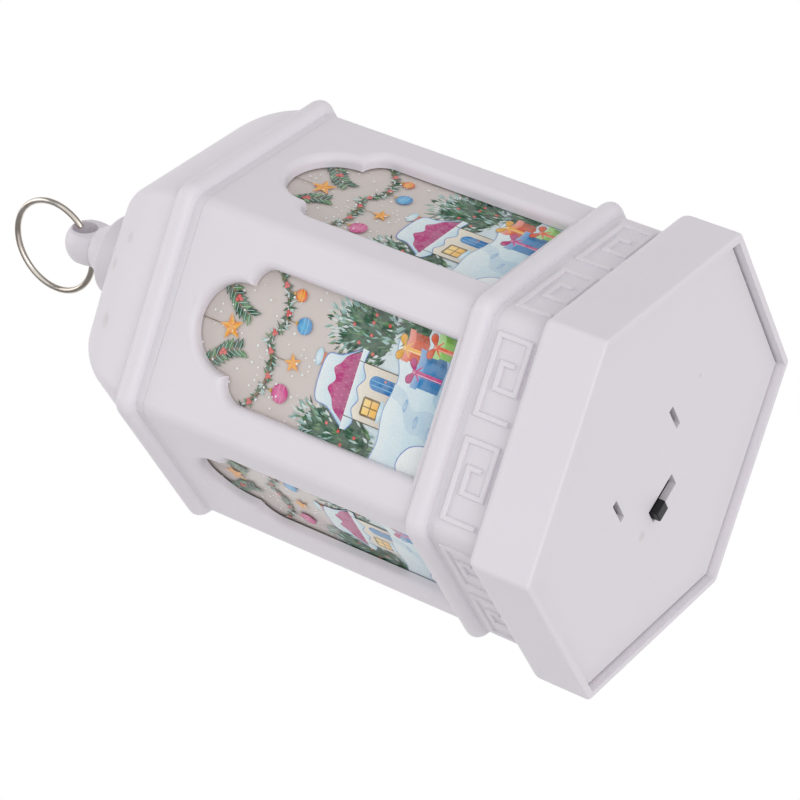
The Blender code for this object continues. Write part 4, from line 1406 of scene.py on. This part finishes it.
    def parcels(self) -> None:
        """Three parcels in the snow before the cottage."""
        self.oval((5.2, 1.5), (5.2, 0.9), ink(150, 184, 212), ink(178, 208, 224), 0.03)
        self.box((4.6, 5.2), (8.6, 8.4), self.ORANGE, self.YELLOW)
        self.box((1.6, 1.6), (6.6, 5.9), self.BLUE, self.MAGENTA)
        self.box((6.4, 0.9), (9.6, 3.9), self.LIME, self.ORANGE)

    def drifts(self) -> None:
        """Snow drifts in front, with a blue edge like a pen line."""
        for points in (
            [(-11.5, 3.2), (-9.0, 4.6), (-6.4, 3.4), (-5.4, 0.8), (-5.8, -1.4)],
            [(1.8, -1.4), (3.4, 0.6), (6.2, 1.2), (9.0, 0.6), (11.5, 1.6)],
        ):
            edge = curve(points)
            edge_foot = [(points[-1][0], -1.6), (points[0][0], -1.6)]
            self.area(edge + edge_foot, self.SNOW_HIGH, ink(238, 242, 242))
            self.line(edge, 0.15, self.SNOW_LINE)

    def star(self, centre: Point2, radius: float) -> None:
        """Five-pointed star with a light and a dark half to each point."""
        for point in range(5):
            tip = math.pi / 2 + math.tau * point / 5
            for side, tint in ((-1, self.YELLOW), (1, mixed(self.YELLOW, self.ORANGE, 0.45))):
                notch = tip + side * math.pi / 5
                points = [centre]
                for angle, reach in ((tip, radius), (notch, radius * 0.42)):
                    run, rise = reach * math.cos(angle), reach * math.sin(angle)
                    points.append((centre[0] + run, centre[1] + rise))
                self.put(points, [tint] * 3, [(0, 1, 2)])

    def bauble(self, hook: Point2, drop: float, radius: float, light: Colour, tint: Colour) -> None:
        """Glass ball that hangs on a thread, with a cap and two bands."""
        centre = (hook[0], hook[1] - drop)
        self.line([hook, (hook[0], centre[1] + radius)], 0.12, self.TWIG)
        self.oval(centre, (radius, radius), light, tint)
        for level in (-0.25, 0.25):
            half = radius * math.sqrt(1 - level * level)
            y = centre[1] + level * radius
            band = [(centre[0] - half, y), (centre[0], y - 0.12), (centre[0] + half, y)]
            self.line(band, 0.16, light)
        cap = centre[1] + radius
        collar = ((-0.3, -0.1), (0.3, -0.1), (0.24, 0.35), (-0.24, 0.35))
        self.area([(hook[0] + x, cap + y) for x, y in collar], self.TWIG, self.YELLOW)

    def garland(self) -> None:
        """Cord across the window with sprigs, berries, baubles and a star."""
        cord = curve(self.GARLAND_CORD, 14)
        self.line(cord, 0.55, self.TWIG_DARK)
        self.line([(x + 0.04, y + 0.1) for x, y in cord], 0.26, self.TWIG)
        for x, y in cord[3:-3:2]:
            for _ in range(4):
                spread = (-2.9, -0.2) if self.hand.random() < 0.6 else (0.3, 2.8)
                angle = self.hand.uniform(*spread)
                tint = self.hand.choice(self.GREENS + self.FROST[:2])
                length, width = self.hand.uniform(0.7, 1.5), self.hand.uniform(0.22, 0.4)
                self.leaf((x, y), angle, length, width, tint)
        for index in range(8, len(cord) - 6, 13):
            x, y = cord[index]
            for dx, dy in ((-0.22, 0.0), (0.22, 0.05), (0.0, -0.32)):
                self.oval((x + dx, y + dy), (0.27, 0.27), ink(230, 120, 112), self.RED)
        self.bauble((-6.2, 28.2), 3.0, 1.35, self.MAGENTA_LIGHT, self.MAGENTA)
        self.bauble((3.8, 27.6), 3.1, 1.2, self.BLUE_LIGHT, self.BLUE)
        self.bauble((7.6, 28.7), 2.3, 0.9, self.YELLOW, self.ORANGE)
        self.line([(-1.6, 28.2), (-1.6, 25.6)], 0.12, self.TWIG)
        self.star((-1.6, 24.6), 1.45)

    def sprays(self) -> None:
        """Leafy sprays with berries at the head of the arch, and a big star between them."""
        for side in (-1, 1):
            bends = ((7.2, 40.0), (5.2, 37.4), (3.4, 35.6), (2.6, 33.2))
            stem = curve([(side * bend, level) for bend, level in bends])
            self.line(stem, 0.5, self.TWIG, 0.14)
            for index, (x, y) in enumerate(stem[4::3]):
                for way in (-1, 1):
                    angle = math.atan2(-2.4, -side * 1.6) + way * 0.9
                    tint = self.GREENS[(index + way) % 4]
                    self.leaf((x, y), angle, 1.9, 0.85, tint)
                    tip = (x + 1.4 * math.cos(angle), y + 1.4 * math.sin(angle))
                    self.line([(x, y), tip], 0.08, self.FROST[0])
            for dx, dy in ((0.0, 0.0), (0.5, -0.2), (0.2, -0.6)):
                self.oval((side * 3.9 + dx, 36.2 + dy), (0.32, 0.32), ink(230, 120, 112), self.RED)
        self.line([(0.0, 41.5), (0.0, 37.6)], 0.12, self.TWIG)
        self.star((0.0, 35.8), 2.0)

    def flakes(self) -> None:
        """Scattered snowflakes."""
        for _ in range(70):
            x, y = self.hand.uniform(-9.6, 9.6), self.hand.uniform(19.5, 40.0)
            size = self.hand.uniform(0.08, 0.2)
            self.oval((x, y), (size, size), ink(244, 246, 246), ink(226, 232, 234))


@dataclass
class PrintedSleeve:
    """Clear sleeve behind the windows and the picture printed on each of its sides."""

    sleeve_corner: float = 28.274 * MM
    window_sill: float = 22.3 * MM
    ink_gap: float = 0.02 * MM
    # The beige-grey colour at alpha 0.86 is painted shade of the dim hollow behind the clear sheet.
    film: SleeveWithPaintedShade = SleeveWithPaintedShade("sleeve_painted_hollow_shade", (0.70, 0.635, 0.605), 0.86)

    def build(self, nodes: dict[str, bpy.types.Object]) -> None:
        """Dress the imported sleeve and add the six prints."""
        wear(nodes["window_film"], self.film.material())
        reach = self.sleeve_corner * FLAT_PER_CORNER + self.ink_gap

        def place(across: float, up: float, layer: float) -> Vector:
            """Return the point of the picture on the side that faces -Y."""
            return Vector((across * MM, -reach - layer * MM, self.window_sill + up * MM))

        first = WinterScene(7).draw().mesh("winter_print_1", PRINT_INK.attribute, place)
        wear(first, PRINT_INK.material())
        for index in range(1, SIDES):
            copy = first.copy()
            copy.name = f"winter_print_{index + 1}"
            copy.data = first.data.copy()
            bpy.context.scene.collection.objects.link(copy)
            Bench.turn(copy, SIXTH_TURN * index, Vector((0, 0, 0)))
            mount(copy, Body.SHELL, Slot.SLEEVE)
        mount(first, Body.SHELL, Slot.SLEEVE)


# ---------------------------------------------------------------- hanging ring


@dataclass
class HangingRing:
    """Open nickel-plated wire ring through the eye, with its gap hidden in the bore."""

    radius: float = 7.5 * MM
    wire: float = 1.0 * MM
    gap: float = 0.6 * MM
    shift: float = 3.0 * MM
    lift: float = 6.335 * MM
    eye_level: float = 103.4 * MM
    turn: float = math.radians(-28.0)
    plating: BareMetal = BareMetal(
        "nickel_plate", (0.80, 0.75, 0.70), (0.62, 0.56, 0.50), 0.18, 1.2 * MM
    )

    def build(self) -> None:
        """Spin the wire's section round the ring and mount it."""
        half_gap = (self.gap + self.wire) / self.radius / 2
        start = math.asin(self.shift / self.radius) + half_gap
        centre = (-self.shift, 0.0, self.lift)
        Bench.clear()
        bpy.ops.mesh.primitive_circle_add(
            vertices=20,
            radius=self.wire / 2,
            location=(
                centre[0] + self.radius * math.sin(start),
                0.0,
                centre[2] - self.radius * math.cos(start),
            ),
            rotation=(0.0, math.pi / 2 - start, 0.0),
        )
        item = Bench.settle("hanging_ring_wire")
        Bench.edit(item)
        bpy.ops.mesh.spin(
            steps=120, angle=math.tau - 2 * half_gap, center=centre, axis=(0.0, -1.0, 0.0)
        )
        bpy.ops.mesh.select_all(action="SELECT")
        bpy.ops.mesh.fill_holes(sides=0)
        bpy.ops.object.mode_set(mode="OBJECT")
        Bench.weld(item)
        Bench.soften(item, 0.12 * MM, 3, 50.0)
        Bench.turn(item, self.turn, Vector((0, 0, 0)))
        Bench.move(item, Vector((0, 0, self.eye_level)))
        Bench.smooth(item, 40.0)
        mount(wear(item, self.plating.material()), Body.RING, Slot.NICKEL, "hanging_ring")


# ---------------------------------------------------------------- lamp module


@dataclass(frozen=True)
class Refined:
    """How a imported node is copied, rounded and dressed."""

    node: str
    body: Body
    slot: Slot
    finish: object
    width: float
    steps: int = 2
    angle: float = 35.0


@dataclass
class LampModule:
    """Base plate with its battery box, cells, board, lamp and switch."""

    white: MouldedPlastic = MouldedPlastic(
        "white_polypropylene_base",
        (0.745, 0.712, 0.755),
        (0.72, 0.684, 0.728),
        marks=(
            ((-0.01022, 0.00223, 0.0013), 1.0 * MM),
            ((0.01333, 0.00424, 0.0013), 0.5 * MM),
        ),
        glow=0.12,
    )
    cell: BareMetal = BareMetal("cell_steel", (0.56, 0.55, 0.53), (0.44, 0.43, 0.41), 0.3)
    zinc: BareMetal = BareMetal(
        "zinc_plate", (0.56, 0.55, 0.53), (0.40, 0.40, 0.39), 0.34, 0.5 * MM
    )
    tinned: BareMetal = BareMetal(
        "tin_plate", (0.70, 0.66, 0.56), (0.52, 0.48, 0.38), 0.3, 0.5 * MM
    )
    board: Coating = Coating(
        "board_lacquer", (0.03, 0.16, 0.06), (0.02, 0.11, 0.045), 0.38, gloss=0.4
    )
    laminate: Coating = Coating("pressed_laminate", (0.20, 0.10, 0.04), (0.14, 0.07, 0.03), 0.55)
    glaze: Coating = Coating(
        "glazed_ceramic", (0.03, 0.03, 0.035), (0.05, 0.05, 0.055), 0.35, gloss=0.3
    )
    black: Coating = Coating(
        "black_plastic", (0.008, 0.008, 0.009), (0.016, 0.016, 0.017), 0.3, 0.5 * MM,
        specular=0.22,
    )
    black_wire: Coating = Coating(
        "black_insulation", (0.015, 0.015, 0.015), (0.03, 0.03, 0.03), 0.45
    )
    red_wire: Coating = Coating("red_insulation", (0.45, 0.02, 0.02), (0.34, 0.015, 0.015), 0.45)
    resin: ClearResin = ClearResin("clear_resin", (0.92, 0.88, 0.70))

    def build(self, nodes: dict[str, bpy.types.Object]) -> None:
        """Dress the nodes that keep their shape, and refine the others."""
        kept = {
            "negative_spring": self.tinned,
            "lamp_lens": self.resin,
            "battery_wire": self.black_wire,
            "switch_wire_in": self.red_wire,
            "switch_wire_out": self.black_wire,
        }
        for name, finish in kept.items():
            wear(nodes[name], finish.material())
        module, knob = Body.MODULE, Body.KNOB
        pieces = [
            Refined("base_plate", module, Slot.WHITE, self.white, 0.12 * MM, 3),
            Refined("battery_box", module, Slot.WHITE, self.white, 0.12 * MM),
            Refined("positive_contact", module, Slot.TINNED, self.tinned, 0.05 * MM),
            Refined("circuit_board", module, Slot.GREEN, self.board, 0.05 * MM),
            Refined("chip_resistor", module, Slot.CERAMIC, self.glaze, 0.08 * MM),
            Refined("switch_case", module, Slot.SCREW, self.zinc, 0.08 * MM),
            Refined("switch_base", module, Slot.BROWN, self.laminate, 0.06 * MM),
            Refined("switch_knob", knob, Slot.BLACK, self.black, 0.22 * MM, 3),
        ]
        for index in (1, 2, 3):
            pieces.append(Refined(f"button_cell_{index}", module, Slot.CELL, self.cell, 0.1 * MM))
            tag = f"switch_terminal_{index}"
            pieces.append(Refined(tag, module, Slot.TINNED, self.tinned, 0.05 * MM))
        for index in (1, 2):
            pieces.append(Refined(f"board_screw_{index}", module, Slot.SCREW, self.zinc, 0.06 * MM))
            tag = f"lamp_lead_{index}"
            pieces.append(Refined(tag, module, Slot.TINNED, self.tinned, 0.04 * MM))
        for piece in pieces:
            self.refine(nodes[piece.node], piece)

    def refine(self, node: bpy.types.Object, piece: Refined) -> None:
        """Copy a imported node, merge its triangles, round its edges and mount it."""
        copy = node.copy()
        copy.data = node.data.copy()
        for key in list(copy.keys()):
            del copy[key]
        copy.parent = None
        copy.name = f"{piece.node}_piece"
        bpy.context.scene.collection.objects.link(copy)
        Bench.weld(copy)
        Bench.edit(copy)
        bpy.ops.mesh.dissolve_limited(angle_limit=math.radians(1.0))
        bpy.ops.object.mode_set(mode="OBJECT")
        Bench.soften(copy, piece.width, piece.steps, piece.angle)
        Bench.smooth(copy, 30.0)
        mount(wear(copy, piece.finish.material()), piece.body, piece.slot, piece.node)


# ---------------------------------------------------------------- stage


@dataclass
class Studio:
    """Camera, floor, lamps and background."""

    lens: float = 144.0
    lamp_spread: float = math.radians(50)
    sensor: float = 36.0
    camera_place: tuple = (0.05917201, -0.39671316, -0.17809764)
    camera_axes: tuple = (
        (0.29658626, 0.94478449, 0.13935153),
        (0.50074437, -0.02959660, -0.86508908),
        (-0.81319842, 0.32635303, -0.48187346),
    )
    ambient: float = 0.66
    band_edge: float = 0.42
    band_soft: float = 0.22
    band_depth: float = 0.72
    sun_power: float = 1.15
    fill_power: float = 0.8
    sun_from: tuple = (0.15, -0.62, -0.77)
    fill_from: tuple = (0.0, -0.42, 0.91)

    def build(self) -> None:
        """Set up the whole stage."""
        self.camera()
        self.background()
        self.lamp("key_lamp", self.sun_from, self.sun_power)
        self.lamp("fill_lamp", self.fill_from, self.fill_power)
        self.floor()
        scene = bpy.context.scene
        scene.view_settings.view_transform = "Standard"

    def camera(self) -> None:
        """Add the camera at the photograph's place and turn."""
        data = bpy.data.cameras.new("photo_camera")
        data.lens = self.lens
        data.sensor_width = self.sensor
        data.clip_start = 0.01
        data.clip_end = 20.0
        item = bpy.data.objects.new("photo_camera", data)
        bpy.context.scene.collection.objects.link(item)
        turn = Matrix(self.camera_axes).to_4x4()
        item.matrix_world = Matrix.Translation(self.camera_place) @ turn
        bpy.context.scene.camera = item

    def lamp(self, name: str, source: tuple, power: float) -> None:
        """Add a very soft distant lamp that shines from a direction."""
        data = bpy.data.lights.new(name, "SUN")
        data.energy = power
        data.angle = self.lamp_spread
        item = bpy.data.objects.new(name, data)
        bpy.context.scene.collection.objects.link(item)
        item.rotation_mode = "QUATERNION"
        item.rotation_quaternion = Vector(source).to_track_quat("Z", "Y")

    def background(self) -> None:
        """White where seen, banded where mirrored, and an even dimmer light elsewhere."""
        world = bpy.data.worlds.new("studio_air")
        bpy.context.scene.world = world
        book = NodeBook(world, "ShaderNodeOutputWorld")
        ray = {
            name: book.node("ShaderNodeLightPath", output=f"Is {name} Ray")
            for name in ("Camera", "Glossy", "Transmission")
        }
        front = tuple(row[2] for row in self.camera_axes)
        towards = book.node(
            "ShaderNodeVectorMath",
            {"operation": "DOT_PRODUCT"},
            {0: book.node("ShaderNodeTexCoord", output="Generated"), 1: front},
            output="Value",
        )
        band = towards.math("ABSOLUTE").below(self.band_edge, self.band_soft)
        room = 1.0 - band * self.band_depth
        seen = (ray["Camera"] + ray["Transmission"]).math("MINIMUM", 1.0)
        mirrored = ray["Glossy"] * (1.0 - seen)
        strength = seen + mirrored * room + (1.0 - seen - mirrored) * self.ambient
        air = book.node("ShaderNodeBackground", values={"Strength": strength})
        air.output.node.inputs["Color"].default_value = paint((1.0, 1.0, 1.0))
        book.close(air)

    def floor(self) -> None:
        """Pale floor that shows from above and is clear from below."""
        Bench.clear()
        bpy.ops.mesh.primitive_plane_add(size=6.0)
        item = Bench.settle("floor")
        book = NodeBook.named("floor_paper")
        tone = book.noise(120 * MM, 2.0)
        colour = book.blend(tone, paint((0.93, 0.93, 0.93)), paint((0.9, 0.9, 0.9)))
        paper = book.node("ShaderNodeBsdfDiffuse", values={"Color": colour})
        clear = book.node("ShaderNodeBsdfTransparent")
        seen = book.node("ShaderNodeLightPath", output="Is Camera Ray")
        behind = book.node("ShaderNodeNewGeometry", output="Backfacing")
        share = seen * (1.0 - behind)
        shown = book.node("ShaderNodeMixShader", values={0: share, 1: clear, 2: paper})
        wear(item, book.close(shown))


def main() -> None:
    """Build the lantern's looks and the stage, piece by piece."""
    logging.basicConfig(level=logging.INFO, format="%(message)s")
    Studio().build()
    LanternShell().build()
    PrintedSleeve().build(frame["nodes"])
    HangingRing().build()
    LampModule().build(frame["nodes"])


if __name__ == "__main__":
    main()
